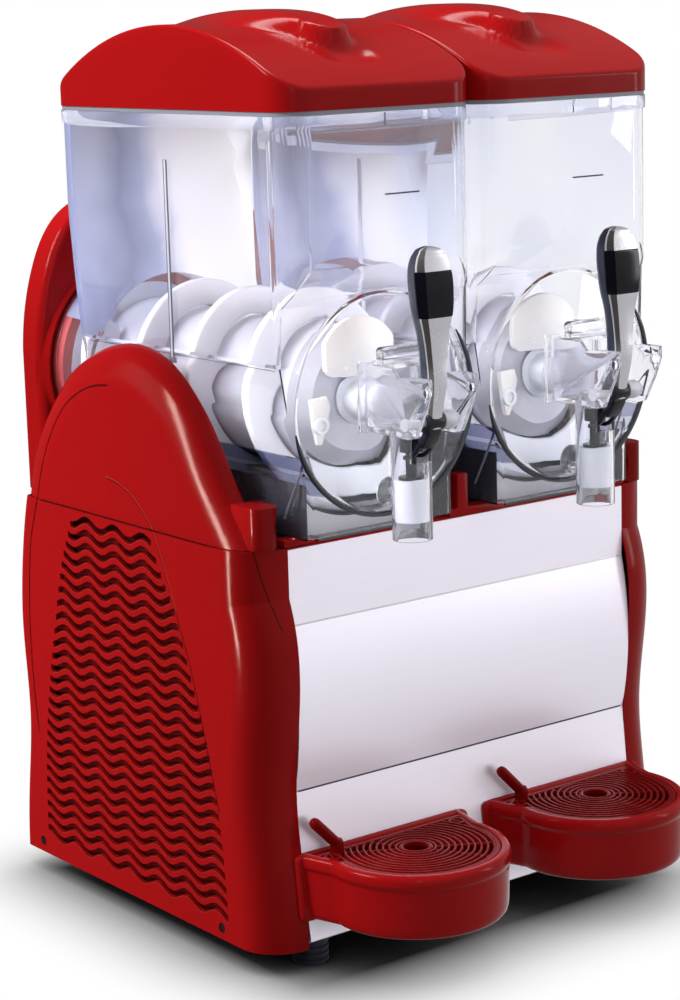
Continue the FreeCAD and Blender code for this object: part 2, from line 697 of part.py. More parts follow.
def steel_slope(margin):
    """A wedge that stands where the leaning steel panel is, grown by margin."""
    front, foot = -mm("FrontY") - margin, -mm("FrontY") - mm("SteelFoot") - margin
    outline = [
        line_edge(side_point(front, mm("PinchZ")), side_point(foot - 1, 20)),
        line_edge(side_point(foot - 1, 20), side_point(0, 20)),
        line_edge(side_point(0, 20), side_point(0, mm("PinchZ"))),
        line_edge(side_point(0, mm("PinchZ")), side_point(front, mm("PinchZ"))),
    ]
    return side_prism(outline, -150, 150)


def tray_shape():
    """A drip tray: a D-shaped cup that narrows a little downwards, with a back flange."""
    wall, high, low = mm("TrayWall"), mm("TrayTop"), mm("TrayLow")
    outer = Part.makeLoft([tray_wire(7, low), tray_wire(3, low + 6), tray_wire(0, high - 12),
                           tray_wire(0, high)], True, True)
    inner = Part.makeLoft([tray_wire(7 + wall, low + wall), tray_wire(3 + wall, low + 6 + wall),
                           tray_wire(wall, high - 12), tray_wire(wall, high + 1)], True, True)
    half = mm("FlangeHalf")
    flange = Part.makeBox(2 * half, 30, high - low + 2, Vector(-half, -mm("FrontY") - mm("SteelFoot") - 5, low - 2))
    ends = [edge for edge in flange.Edges if edge.BoundBox.YLength > 29]
    flange = flange.makeFillet(6, ends)
    tray = outer.fuse([flange]).cut(inner)
    return tray.cut(steel_slope(mm("Gap"))).removeSplitter()


def grille_shape():
    """A drip grille: a plate with rings of slots round a middle hole, and a slanted peg to lift it by."""
    high, wall = mm("TrayTop"), mm("TrayWall")
    thick = 3
    rim = wall + mm("Gap")
    plate = Part.Face(tray_wire(rim, high - thick)).extrude(Vector(0, 0, thick))
    clear = Part.Face(tray_wire(rim + 5, high - thick - 1)).extrude(Vector(0, 0, thick + 2))
    centre = Vector(0, -mm("TrayHoleY"), high - thick - 1)
    spokes = []
    for count in range(6):
        bar = Part.makeBox(240, 4, thick + 2, centre + Vector(-120, -2, 0))
        bar.rotate(centre, Vector(0, 0, 1), count * 30)
        spokes.append(bar)
    slots = []
    for ring in range(8):
        radius = 20 + 8 * ring
        outer = Part.makeCylinder(radius + 4, thick + 2, centre)
        slots.append(outer.cut(Part.makeCylinder(radius, thick + 2, centre)))
    pattern = Part.makeCompound(slots).cut(Part.makeCompound(spokes)).common(clear)
    hole = Part.makeCylinder(12, thick + 2, centre)
    foot, head = Vector(-62, -158, high - thick + 0.5), Vector(-84, -156, high + 33)
    pad = Part.makeCylinder(7, thick, Vector(-62, -158, high - thick))
    peg = Part.makeCylinder(4.6, foot.distanceToPoint(head), foot, head - foot)
    peg = peg.cut(Part.makeBox(60, 60, 20, Vector(-92, -185, high - thick - 20)))
    plate = plate.cut(pattern).cut(hole).fuse([pad, peg, Part.makeSphere(4.6, head)])
    half = mm("SteelHalf") - mm("TrayOffset") - 1
    between_covers = Part.makeBox(2 * half, 200, 100, Vector(-half, -300, high - thick - 5))
    return plate.common(between_covers).cut(steel_slope(mm("Gap"))).removeSplitter()


def rounded_path(points, bend):
    """Straight runs joined by tangent arcs of one radius."""
    edges = []
    start = points[0]
    for index in range(1, len(points) - 1):
        corner = points[index]
        before = (points[index - 1] - corner).normalize()
        after = (points[index + 1] - corner).normalize()
        half_angle = before.getAngle(after) / 2
        reach = bend / math.tan(half_angle)
        bisector = (before + after).normalize()
        middle = corner + bisector * (bend / math.sin(half_angle) - bend)
        edges.append(line_edge(start, corner + before * reach))
        edges.append(arc_edge(corner + before * reach, middle, corner + after * reach))
        start = corner + after * reach
    edges.append(line_edge(start, points[-1]))
    return Part.Wire(edges)


def tube_along(points, radius, bend):
    """A round tube, closed at its ends, along a bent path."""
    path = rounded_path(points, bend)
    ring = Part.Wire(Part.makeCircle(radius, points[0], points[1] - points[0]))
    return path.makePipeShell([ring], True, False)


def rear_housing_shape():
    """The red housing behind the bowls, hollow for the geared motors, with a collar round each drum."""
    front, rear, wall = mm("HousingFront"), mm("HousingRear"), mm("Wall")
    low, high, half = mm("SeamZ") + mm("Gap"), mm("HousingTop"), mm("HousingHalf")

    def outline(inset, y, foot):
        """The housing seen from the front: upright sides that lean in to a round-shouldered top."""
        flank = [(half, 540), (half - 3, 572), (half - 14, 618), (half - 36, 662), (half - 88, high)]
        right = [Vector(x - inset, y, min(z, high - inset)) for x, z in flank]
        left = [Vector(-point.x, y, point.z) for point in right]
        return Part.Face(Part.Wire([
            line_edge(Vector(half - inset, y, foot), right[0]), smooth_edge(right),
            line_edge(right[-1], left[-1]), smooth_edge(left[::-1]),
            line_edge(left[0], Vector(inset - half, y, foot)),
            line_edge(Vector(inset - half, y, foot), Vector(half - inset, y, foot))]))

    shell = outline(0, front, low).extrude(Vector(0, rear - front, 0))
    rims = [edge for edge in shell.Edges if edge.BoundBox.YLength < 1e-3 and edge.BoundBox.ZMax > low + 1]
    shell = shell.makeFillet(9, rims)
    core = outline(wall, front + wall, low - 1).extrude(Vector(0, rear - front - 2 * wall, 0))
    shell = shell.cut(core)
    for sign in SIDES.values():
        centre = sign * mm("BowlOffset")
        profile = [(mm("BossInner"), 239), (mm("BossInner") + 2, 239), (mm("BossRadius"), 251),
                   (mm("BossRadius"), 258), (mm("BossInner"), 258), (mm("BossInner"), 239)]
        face = Part.Face(Part.makePolygon([Vector(centre + r, y, mm("AxisZ")) for r, y in profile]))
        collar = face.revolve(Vector(centre, 0, mm("AxisZ")), Vector(0, 1, 0), 360)
        shell = shell.fuse(collar)
        shell = shell.cut(Part.makeCylinder(22, 30, Vector(centre, front - 20, mm("AxisZ")), Vector(0, 1, 0)))
    return shell.cut(core).removeSplitter()


SCREW_PLACES = [(245, 34), (-77, 33)]


def bored_louvre_panel():
    """The louvre panel with its screw bosses."""
    panel = louvre_panel()
    inner, outer = mm("CoverHalf") - mm("Wall"), mm("CoverHalf")
    for y, z in SCREW_PLACES:
        boss = Part.makeCylinder(7, 10, Vector(inner - 10, y, z), Vector(1, 0, 0))
        panel = panel.cut(Part.makeCylinder(5, 6, Vector(inner, y, z), Vector(1, 0, 0))).fuse(boss)
        panel = panel.cut(Part.makeCylinder(2.5, outer - inner + 12, Vector(inner - 11, y, z), Vector(1, 0, 0)))
    return panel.removeSplitter()


def make_covers():
    """Side covers, rear housing and the screws of the louvre panels."""
    panel = node(shaped("louvre_shell", bored_louvre_panel()), "right_louvre_panel")
    node(mirrored("louvre_shell_left", panel), "left_louvre_panel")
    arch = node(shaped("arch_shell", arch_cover()), "right_arch_cover")
    node(mirrored("arch_shell_left", arch), "left_arch_cover")
    node(shaped("housing_shell", rear_housing_shape()), "rear_housing")
    screws = []
    for side, sign in SIDES.items():
        for count, (y, z) in enumerate(SCREW_PLACES):
            inner = mm("CoverHalf") - mm("Wall")
            head = Part.makeCylinder(4.7, 2, Vector(sign * inner, y, z), Vector(sign, 0, 0))
            shank = Part.makeCylinder(2.5, 10, Vector(sign * (inner - 10), y, z), Vector(sign, 0, 0))
            screws.append(head.fuse(shank))
    node(shaped("cover_screws", Part.makeCompound(screws)), "panel_screws")


def make_chassis():
    """Base pan, feet, frame, rear panel, deck and its red trim."""
    rear = "RearPanelY - Sheetmetal"
    floor = block("pan_outer", ("-PanHalf", "-PanFront", "FootTop"), ("PanHalf", rear, "FootTop + 16"))
    nose = block("pan_nose", ("-SteelHalf + 1", "-PanNose", "FootTop"), ("SteelHalf - 1", "0", "FootTop + 16"))
    inside = block("pan_inner", ("-PanHalf + 2", "-PanFront + 2", "FootTop + 2"),
                   ("PanHalf - 2", f"{rear} - 2", "FootTop + 17"))
    inside_nose = block("pan_inner_nose", ("-SteelHalf + 3", "-PanNose + 2", "FootTop + 2"),
                        ("SteelHalf - 3", "0", "FootTop + 17"))
    node(cut("base_pan_cut", fused("pan_joined", [floor, nose]), [inside, inside_nose]), "base_pan")

    feet = []
    for side, sign in SIDES.items():
        for row, y in (("front", "-FootFrontY"), ("rear", "FootRearY")):
            profile = [("0", "0"), ("FootRadius - 2", "0"), ("FootRadius", "2")]
            for rib in range(3):
                low = 5 + 6 * rib
                profile += [("FootRadius", f"{low}"), ("FootRadius - 1.2", f"{low + 1}"),
                            ("FootRadius - 1.2", f"{low + 2}"), ("FootRadius", f"{low + 3}")]
            profile += [("FootRadius", "FootTop"), ("0", "FootTop")]
            feet.append(turned(f"foot_{side}_{row}", profile, (f"{sign} * FootX", y, "0")))
    node(fused("feet_joined", feet), "levelling_feet")

    rails = []
    top, low = "SteelTop", "FootTop + 2"
    for side, sign in SIDES.items():
        outer = "FrameHalf" if sign > 0 else "-FrameHalf + 18"
        inner = "FrameHalf - 18" if sign > 0 else "-FrameHalf"
        for row, y in (("front", -106), ("rear", 206)):
            post = block(f"post_{side}_{row}", (inner, f"{y}", low), (outer, f"{y + 18}", f"{top} - 10"))
            groove_x = (f"{inner} - 1", f"{outer} - 3") if sign > 0 else (f"{inner} + 3", f"{outer} + 1")
            groove_y = (y + 3, y + 19) if row == "front" else (y - 1, y + 15)
            groove = block(f"groove_{side}_{row}", (groove_x[0], f"{groove_y[0]}", f"{low} - 1"),
                           (groove_x[1], f"{groove_y[1]}", f"{top} - 13"))
            rails.append(cut(f"angle_{side}_{row}", post, [groove]))
        rails.append(block(f"rail_{side}", (inner, "-106", f"{top} - 13"), (outer, "224", top)))
    for row, y in (("front", -106), ("rear", 206)):
        rails.append(block(f"rail_{row}", ("-FrameHalf", f"{y}", f"{top} - 13"), ("FrameHalf", f"{y + 18}", top)))
    node(fused("frame_joined", rails), "chassis_frame")

    panel = block("rear_sheet", ("-SteelHalf + 1", "RearPanelY - Sheetmetal", "FootTop + 2"),
                  ("SteelHalf - 1", "RearPanelY", "SteelTop - 1"))
    holes = []
    for row in range(9):
        z = 80 + 18 * row
        holes.append(block(f"rear_slot_{row}", ("-90", "RearPanelY - 5", f"{z}"), ("80", "RearPanelY + 5", f"{z + 6}")))
    for place in SWITCHES.values():
        holes.append(block(f"rear_window_{place}", (f"{place} - 10.7", "RearPanelY - 5", "SwitchZ - 13.7"),
                           (f"{place} + 10.7", "RearPanelY + 5", "SwitchZ + 13.7")))
    holes.append(rod("rear_gland_hole", "9", "10", ("GlandX", "RearPanelY - 5", "GlandZ"), "Y"))
    node(cut("rear_panel_cut", panel, holes), "rear_panel")

    decks = [
        block("deck_front", ("-SteelHalf - 3", "-122", "SteelTop"), ("SteelHalf + 3", "-96", "DeckTop")),
        block("deck_plate", ("-ArchInner", "-96", "SteelTop"), ("ArchInner", "235", "DeckTop")),
        block("deck_rear", ("-SteelHalf + 1", "235", "SteelTop"), ("SteelHalf - 1", "HousingFront - 2", "DeckTop")),
        block("deck_shelf", ("-SteelHalf + 1", "HousingFront - 2", "SteelTop"),
              ("SteelHalf - 1", "HousingRear", "SeamZ + Gap")),
    ]
    for side, sign in SIDES.items():
        centre = f"{sign} * BowlOffset"
        decks.append(block(f"cradle_{side}", (f"{centre} - 80", "-116", "DeckTop"),
                           (f"{centre} + 80", "SkirtRear - 6", "AxisZ - DrumRadius - 1")))
    node(fused("deck_joined", decks), "bowl_deck")

    trim = [block("trim_strip", ("-SteelHalf", "-FrontY", "SteelTop"), ("SteelHalf", "-122 - Gap", "SteelTop + 2"))]
    trim.append(block("trim_post", ("-6.5", "-FrontY", "SteelTop + 2"), ("6.5", "-122 - Gap", "PostTop")))
    trim.append(block("trim_middle", ("-16", "-FrontY", "SteelTop + 2"), ("52", "-122 - Gap", "DeckTop + 1")))
    for side, sign in SIDES.items():
        low, high = ("175", "SteelHalf + 3") if sign > 0 else ("-SteelHalf - 3", "-175")
        trim.append(block(f"trim_tongue_{side}", (low, "-FrontY", "SteelTop + 2.3"), (high, "-122 - Gap", "DeckTop + 1")))
    node(fused("trim_joined", trim), "deck_trim")

    shelves = []
    for side, sign in SIDES.items():
        centre = f"{sign} * BowlOffset"
        shelf = block(f"shelf_{side}", (f"{centre} - 58", "-FrontY + 1", "SteelTop + 2"),
                      (f"{centre} + 58", "-122 - Gap", "DeckTop + 1.5"))
        trough = block(f"trough_{side}", (f"{centre} - 56", "-FrontY + 3", "SteelTop + 4"),
                       (f"{centre} + 56", "-124 - Gap", "DeckTop + 3"))
        shelves.append(cut(f"shelf_cut_{side}", shelf, [trough]))
    node(fused("shelves_joined", shelves), "condensate_trays")


SWITCHES = {"left_bowl": 104, "power": 134, "right_bowl": 164}


def make_controls():
    """The electrical box, its three rocker switches and the cable gland."""
    box = block("box_outer", ("84", "180", "SwitchZ - 50"), ("183", "RearPanelY - Sheetmetal", "SwitchZ + 50"))
    inside = block("box_inner", ("86", "182", "SwitchZ - 48"), ("181", "RearPanelY - Sheetmetal - 2", "SwitchZ + 48"))
    windows = []
    frames = []
    for name, place in SWITCHES.items():
        windows.append(block(f"window_{name}", (f"{place} - 10.7", "220", "SwitchZ - 13.7"),
                             (f"{place} + 10.7", "RearPanelY + 5", "SwitchZ + 13.7")))
        frames.append(block(f"bezel_{name}", (f"{place} - 13", "RearPanelY", "SwitchZ - 16"),
                            (f"{place} + 13", "RearPanelY + 2", "SwitchZ + 16")))
    hollow = cut("box_hollow", box, [inside])
    node(cut("box_cut", fused("box_joined", [hollow] + frames), windows), "control_box")

    for name, place in SWITCHES.items():
        cap = doc.addObject("Part::Box", f"cap_{name}")
        cap.Length, cap.Width, cap.Height = 20, 9, 25
        tilt = Rotation(Vector(1, 0, 0), -8)
        pivot = Vector(0, mm("RearPanelY"), mm("SwitchZ"))
        cap.Placement = Placement(pivot + tilt.multVec(Vector(-10, -6, -12.5)), tilt)
        cap.setExpression("Placement.Base.x", f"{place} - 10")
        axle = rod(f"axle_{name}", "3", "21", (f"{place} - 10.5", "RearPanelY", "SwitchZ"), "X")
        node(fused(f"rocker_{name}", [cap, axle]), "power_rocker" if name == "power" else f"{name}_rocker")

    profile = [("4", "0"), ("8.9", "0"), ("8.9", "6"), ("13", "6"), ("13", "10"), ("9", "13"), ("7", "26"), ("4", "26")]
    node(turned("gland_turning", profile, ("GlandX", "RearPanelY - 6", "GlandZ"), "Y"), "cord_gland")


def make_cooling():
    """Compressor, condenser, fan and pipes inside the body."""
    profile = [("0", "FootTop + 20"), ("46", "FootTop + 20"), ("74", "FootTop + 48"), ("76", "FootTop + 92"),
               ("74", "FootTop + 150"), ("48", "FootTop + 184"), ("0", "FootTop + 190")]
    pump = [turned("pump_can", profile, ("CompressorX", "CompressorY", "0"))]
    pump.append(block("pump_plate", ("CompressorX - 80", "CompressorY - 70", "FootTop + 14"),
                      ("CompressorX + 80", "CompressorY + 70", "FootTop + 20.5")))
    for count, (across, along) in enumerate(((-68, -58), (68, -58), (-68, 58), (68, 58))):
        pump.append(rod(f"pump_grommet_{count}", "9", "12", (f"CompressorX + {across}", f"CompressorY + {along}",
                                                           "FootTop + 2")))
    node(fused("pump_joined", pump), "compressor")

    low, high = "FootTop + 2", "310"
    coil = []
    for side, y in (("front", "-70"), ("rear", "188")):
        coil.append(block(f"coil_end_{side}", ("-190", y, low), ("-150", f"{y} + 2", high)))
    for fin in range(20):
        y = -56 + 12 * fin
        coil.append(block(f"fin_{fin}", ("-188", f"{y}", "60"), ("-152", f"{y} + 1.2", f"{high} - 5")))
    for count in range(5):
        for lane, x in ((0, "-180"), (1, "-160")):
            coil.append(rod(f"coil_tube_{count}_{lane}", "4", "258", (x, "-70", f"{82 + 50 * count}"), "Y"))
    node(fused("coil_joined", coil), "condenser")

    shroud = block("shroud_plate", ("-148", "-60", low), ("-130", "180", "300"))
    mouth = rod("shroud_mouth", "FanRadius + 4", "30", ("-155", "FanY", "FanZ"), "X")
    node(cut("shroud_cut", shroud, [mouth]), "fan_shroud")

    motor = [rod("motor_can", "34", "48", ("-108", "FanY", "FanZ"), "X")]
    motor.append(rod("motor_shaft", "4", "30", ("-137", "FanY", "FanZ"), "X"))
    motor.append(block("motor_bracket", ("-100", "FanY - 18", low), ("-70", "FanY + 18", "FanZ - 20")))
    node(fused("motor_joined", motor), "fan_motor")

    hub = rod("fan_hub", "16", "14", ("-138", "FanY", "FanZ"), "X")
    blades = []
    for count in range(5):
        turn = Rotation(Vector(1, 0, 0), 72 * count)
        blade = doc.addObject("Part::Box", f"fan_blade_{count}")
        blade.Length, blade.Width, blade.Height = 2, 44, mm("FanRadius") - 14
        pitch = Rotation(Vector(0, 0, 1), 62)
        corner = turn.multVec(pitch.multVec(Vector(-1, -22, 12)))
        middle = Vector(-131, mm("FanY"), mm("FanZ"))
        blade.Placement = Placement(middle + corner, turn.multiply(pitch))
        blades.append(blade)
    bore = rod("fan_bore", "4 + RunningFit", "40", ("-150", "FanY", "FanZ"), "X")
    node(cut("fan_cut", fused("fan_joined", [hub] + blades), [bore]), "fan_blade")

    discharge = [Vector(57, 60, 210.3), Vector(57, 60, 345), Vector(-60, 60, 345), Vector(-170, 150, 345),
                 Vector(-170, 150, 305)]
    suction = [Vector(138, 55, 210.4), Vector(138, 55, 350), Vector(60, 150, 350), Vector(60, 190, 350),
               Vector(60, 190, mm("SteelTop"))]
    lines = [tube_along(discharge, 4, 14), tube_along(suction, 5, 14)]
    drier = Part.makeCylinder(12, 70, Vector(-40, 60, 345) + Vector(-35, 0, 0), Vector(1, 0, 0))
    node(shaped("pipe_runs", Part.makeCompound([lines[0].fuse(drier), lines[1]])), "refrigerant_pipes")


def make_bowl(side, sign):
    """One bowl with its lid, gaskets and what turns inside it."""
    centre = f"{sign} * BowlOffset"
    node(shaped(f"{side}_bowl_shell", bowl_shape(), centre), f"{side}_bowl")
    node(shaped(f"{side}_lid_shell", lid_shape(), centre), f"{side}_lid")
    seal = plan_prism(mm("RimHalf") - 1, mm("BowlFront") - 1, mm("BowlRear") - 1, mm("BowlCorner") + 1,
                      mm("RimTop") + mm("Gap"), mm("LidLow"))
    opening = plan_prism(mm("RimHalf") - 6, mm("BowlFront") - 6, mm("BowlRear") - 6, mm("BowlCorner") - 4,
                         mm("RimTop") - 1, mm("LidLow") + 1)
    node(shaped(f"{side}_seal_ring", seal.cut(opening), centre), f"{side}_lid_gasket")

    bore = "ShaftRadius + RunningFit"
    cooling = [(bore, "-EvapFront"), ("EvapRadius - 16", "-EvapFront"), ("EvapRadius", "-EvapFront + 14"),
               ("EvapRadius", "226"), ("FlangeRadius", "226"), ("FlangeRadius", "HousingFront"),
               ("EvapRadius - 4", "HousingFront"), ("EvapRadius - 4", "-EvapFront + 16"),
               ("EvapRadius - 16", "-EvapFront + 5"), (f"{bore} + 5", "-EvapFront + 5"),
               (f"{bore} + 5", "HousingFront"), (bore, "HousingFront")]
    node(turned(f"{side}_cooling", cooling, (centre, "0", "AxisZ"), "Y"), f"{side}_evaporator")

    gasket = [("FlangeRadius", "227"), ("DrumRadius - BowlWall - Gap", "227"),
              ("DrumRadius - BowlWall - Gap", "DrumRear + Gap"), ("DrumRadius + 2", "DrumRear + Gap"),
              ("DrumRadius + 2", "HousingFront"), ("FlangeRadius", "HousingFront")]
    node(turned(f"{side}_ring", gasket, (centre, "0", "AxisZ"), "Y"), f"{side}_bowl_gasket")

    node(shaped(f"{side}_ribbon", auger_shape(), centre), f"{side}_auger")
    nose = [("0", "-159"), ("11", "-159"), ("17", "-152"), ("17", "-143"), ("0", "-143")]
    node(turned(f"{side}_nose", nose, (centre, "0", "AxisZ"), "Y"), f"{side}_auger_nose")
    shaft = [("0", "-143"), ("ShaftRadius", "-143"), ("ShaftRadius", "268"), ("0", "268")]
    node(turned(f"{side}_shaft", shaft, (centre, "0", "AxisZ"), "Y"), f"{side}_drive_shaft")

    gearbox = block(f"{side}_gearbox", (f"{centre} - 42", "HousingFront + Wall", "AxisZ - 42"),
                    (f"{centre} + 42", "HousingRear - Wall - 3", "AxisZ + 100"))
    motor = rod(f"{side}_motor_can", "36", "HousingRear - HousingFront - 2 * Wall - 3",
                (centre, "HousingFront + Wall", "AxisZ + 120"), "Y")
    socket = rod(f"{side}_socket", bore, "24", (centre, "HousingFront + Wall - 1", "AxisZ"), "Y")
    node(cut(f"{side}_gearmotor_cut", fused(f"{side}_gearmotor_joined", [gearbox, motor]), [socket]),
         f"{side}_gearmotor")


def make_tap(side, sign):
    """One tap: clear body, lever on its pin, and the piston it lifts."""
    centre = f"{sign} * BowlOffset"
    tube = rod(f"{side}_tube", "TubeRadius", "TubeTop - TubeLow", (centre, "-TubeY", "TubeLow"))
    neck = rod(f"{side}_neck", "OutletRadius + 3", "TubeY - DrumFront", (centre, "-TubeY", "OutletZ"), "Y")
    flange = block(f"{side}_flange", (f"{centre} - 32", "-DrumFront - 5", "PinZ - 14"),
                   (f"{centre} + 32", "-DrumFront", "CheekTop"))
    roof = block(f"{side}_roof", (f"{centre} - CheekHalf", "-TubeY - 8", "CheekTop - 3"),
                 (f"{centre} + CheekHalf", "-DrumFront - 5", "CheekTop"))
    collar = block(f"{side}_collar", (f"{centre} - CheekHalf", "-TubeY - 19", "TubeTop - 9"),
                   (f"{centre} + CheekHalf", "-DrumFront - 5", "TubeTop - 5"))
    bar = rod(f"{side}_bar", "6", "2 * CheekHalf - 4", (f"{centre} - CheekHalf + 2", "-TubeY + 8", "CheekTop + 9"), "X")
    solids = [tube, neck, flange, roof, collar, bar]
    outline = [
        ("-DrumFront - 5", "PinZ - 12"), ("-DrumFront - 5", "CheekTop"), ("-TubeY - 8", "CheekTop"),
        ("-TubeY - 18", "CheekTop - 10"), ("-PinY - 14", "CheekTop - 7"), ("-PinY - 32", "CheekTop - 7"),
        ("-PinY - 32", "CheekTop - 18"), ("-PinY - 25", "PinZ + 14"), ("-PinY - 12", "PinZ - 10"),
        ("-PinY - 2", "PinZ - 13"),
    ]
    for edge, shift in (("near", "-CheekHalf + CheekWall / 2"), ("far", "CheekHalf - CheekWall / 2")):
        cheek = pressed(f"{side}_cheek_{edge}", "YZ_Plane", outline, "CheekWall")
        solids.append(put(cheek, f"{centre} + ({shift})"))
        solids.append(block(f"{side}_stand_{edge}", (f"{centre} + ({shift}) - 2", "-TubeY + 5", "CheekTop - 1"),
                            (f"{centre} + ({shift}) + 2", "-TubeY + 11", "CheekTop + 9")))
    tools = [
        rod(f"{side}_tube_bore", "TubeBore", "TubeTop - TubeLow + 2", (centre, "-TubeY", "TubeLow - 1")),
        rod(f"{side}_neck_bore", "OutletRadius", "TubeY - DrumFront + 1", (centre, "-TubeY", "OutletZ"), "Y"),
        rod(f"{side}_pin_hole", "PinRadius", "2 * PinHalf", (f"{centre} - PinHalf", "-PinY", "PinZ"), "X"),
        rod(f"{side}_ear_hole", "4.5", "2 * PinHalf", (f"{centre} - PinHalf", "-PinY - 24", "CheekTop - 20"), "X"),
        block(f"{side}_fork_slot", (f"{centre} - 10.8", "-TubeY - 22", "HeadLow - 9"),
              (f"{centre} + 10.8", "-TubeY", "TubeTop + 1")),
    ]
    node(cut(f"{side}_tap_cut", fused(f"{side}_tap_joined", solids), tools), f"{side}_tap_body")

    cap, bush = "PinRadius + 1.6", "8.5"
    pin = [("0", "-PinHalf"), (cap, "-PinHalf"), (cap, "-CheekHalf - Gap"), ("PinRadius", "-CheekHalf - Gap"),
           ("PinRadius", "11"), (bush, "11"), (bush, "CheekHalf - CheekWall - Gap"),
           ("PinRadius", "CheekHalf - CheekWall - Gap"), ("PinRadius", "CheekHalf + Gap"),
           (cap, "CheekHalf + Gap"), (cap, "PinHalf"), ("0", "PinHalf")]
    node(turned(f"{side}_pin", pin, (centre, "-PinY", "PinZ"), "X"), f"{side}_lever_pin")
    spring = [("PinRadius + 0.6", "-6"), ("PinRadius + 2.6", "-6"), ("PinRadius + 2.6", "6"), ("PinRadius + 0.6", "6")]
    node(turned(f"{side}_spring", spring, (centre, "-PinY", "PinZ"), "X"), f"{side}_tap_spring")
    node(shaped(f"{side}_lever_form", lever_shape(), centre), f"{side}_tap_lever")

    rod_radius = "StemRadius + 3"
    piston = [("0", "SleeveLow"), (rod_radius, "SleeveLow"), (rod_radius, "SleeveTop"), ("11.5", "SleeveTop"),
              ("11.5", "SleeveTop + 3"), ("StemRadius", "SleeveTop + 3"), ("StemRadius", "HeadLow"),
              ("HeadRadius", "HeadLow"), ("HeadRadius", "HeadTop"), ("0", "HeadTop")]
    node(turned(f"{side}_piston", piston, (centre, "-TubeY", "0")), f"{side}_tap_piston")
    sleeve = [(rod_radius, "SleeveLow"), ("TubeBore - Gap", "SleeveLow"), ("TubeBore - Gap", "SleeveTop"),
              (rod_radius, "SleeveTop")]
    node(turned(f"{side}_sleeve", sleeve, (centre, "-TubeY", "0")), f"{side}_piston_sleeve")


def make_tray(side, sign):
    """One drip tray and its grille."""
    centre = f"{sign} * TrayOffset"
    node(shaped(f"{side}_tray_cup", tray_shape(), centre), f"{side}_drip_tray")
    node(shaped(f"{side}_tray_plate", grille_shape(), centre), f"{side}_drip_grille")


def check(things):
    """Stops the run if any object of the document failed or a sub-part has no sound solid."""
    for thing in doc.Objects:
        if "Invalid" in thing.State or "Error" in thing.State:
            raise RuntimeError(f"{thing.Name} failed: {thing.State}")
    for thing in things:
        if thing.Shape.isNull() or not thing.Shape.isValid() or not thing.Shape.Solids:
            raise RuntimeError(f"{thing.Label} has no sound solid")


make_chassis()
steel_front()
steel_foot()
make_covers()
make_controls()
make_cooling()
for side, sign in SIDES.items():
    make_bowl(side, sign)
    make_tap(side, sign)
    make_tray(side, sign)
doc.recompute()
check(nodes)

os.makedirs("parts", exist_ok=True)
for thing in nodes:
    thing.Shape.exportStep(f"parts/{thing.Label}.step")
    print(f"{thing.Label}: {thing.Shape.Volume / 1000:.1f} cm3")
print(len(nodes), "sub-parts")
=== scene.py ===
# %% [markdown]
# # A twin-bowl slush machine
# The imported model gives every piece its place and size. This lesson dresses it: it gives each piece the finish of
# the real one, and builds finer surfaces where the plain solid is too simple.

# %% Load the model
import json
import math

import bmesh
import bpy
import numpy as np
from mathutils import Matrix, Vector
from mathutils.bvhtree import BVHTree


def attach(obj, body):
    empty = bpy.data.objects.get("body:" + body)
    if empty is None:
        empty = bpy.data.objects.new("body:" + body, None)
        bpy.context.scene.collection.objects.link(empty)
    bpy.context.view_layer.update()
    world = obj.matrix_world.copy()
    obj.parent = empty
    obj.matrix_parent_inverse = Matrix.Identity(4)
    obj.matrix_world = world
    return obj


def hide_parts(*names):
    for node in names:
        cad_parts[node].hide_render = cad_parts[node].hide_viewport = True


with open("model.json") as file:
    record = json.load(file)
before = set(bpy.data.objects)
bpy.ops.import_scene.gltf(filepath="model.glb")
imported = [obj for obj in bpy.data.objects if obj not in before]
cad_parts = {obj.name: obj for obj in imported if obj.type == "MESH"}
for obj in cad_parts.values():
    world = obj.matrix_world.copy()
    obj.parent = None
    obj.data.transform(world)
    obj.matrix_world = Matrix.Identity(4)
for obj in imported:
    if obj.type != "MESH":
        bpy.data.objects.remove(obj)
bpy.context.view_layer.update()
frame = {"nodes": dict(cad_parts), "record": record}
body_of_node = {node: body for body, nodes in frame["record"]["behaviour"]["bodies"].items() for node in nodes}
slot_of_node = {part["node"]: part["material_slot"] for part in frame["record"]["subparts"]}

# %% [markdown]
# ## Shared surface effects
# Polished plastic is never perfectly flat: it has a faint ripple from the mould and a haze of fine wiping marks.
# Steel sheet has a grain of long fine scratches. Both are needed on many pieces, so each is one node group with its
# own inputs, placed in every material with that material's values.

# %% Node groups
def added(tree, kind, inputs=(), **settings):
    """A node of a kind; each of its inputs gets a number, a colour or the socket that feeds it."""
    node = tree.nodes.new(f"ShaderNode{kind}")
    for label, value in settings.items():
        setattr(node, label, value)
    for label, value in dict(inputs).items():
        if isinstance(value, bpy.types.NodeSocket):
            tree.links.new(value, node.inputs[label])
        else:
            node.inputs[label].default_value = value
    return node


def effect_group(name, inputs, outputs):
    """An empty node group with float inputs and outputs, and its two end nodes."""
    group = bpy.data.node_groups.new(name, "ShaderNodeTree")
    group.interface.new_socket("Position", in_out="INPUT", socket_type="NodeSocketVector")
    for label, value in inputs.items():
        group.interface.new_socket(label, in_out="INPUT", socket_type="NodeSocketFloat").default_value = value
    for label in outputs:
        group.interface.new_socket(label, in_out="OUTPUT", socket_type="NodeSocketFloat")
    return group, group.nodes.new("NodeGroupInput"), group.nodes.new("NodeGroupOutput")


def noise(tree, position, scale, detail=3.0, roughness=0.55):
    """A noise node fed by a position; returns its factor output."""
    inputs = {"Vector": position, "Scale": scale, "Detail": detail, "Roughness": roughness}
    return added(tree, "TexNoise", inputs).outputs["Fac"]


def stretched(tree, position, scale):
    """A position whose axes are scaled, so that a noise over it has a direction."""
    return added(tree, "Mapping", {"Vector": position, "Scale": scale}).outputs[0]


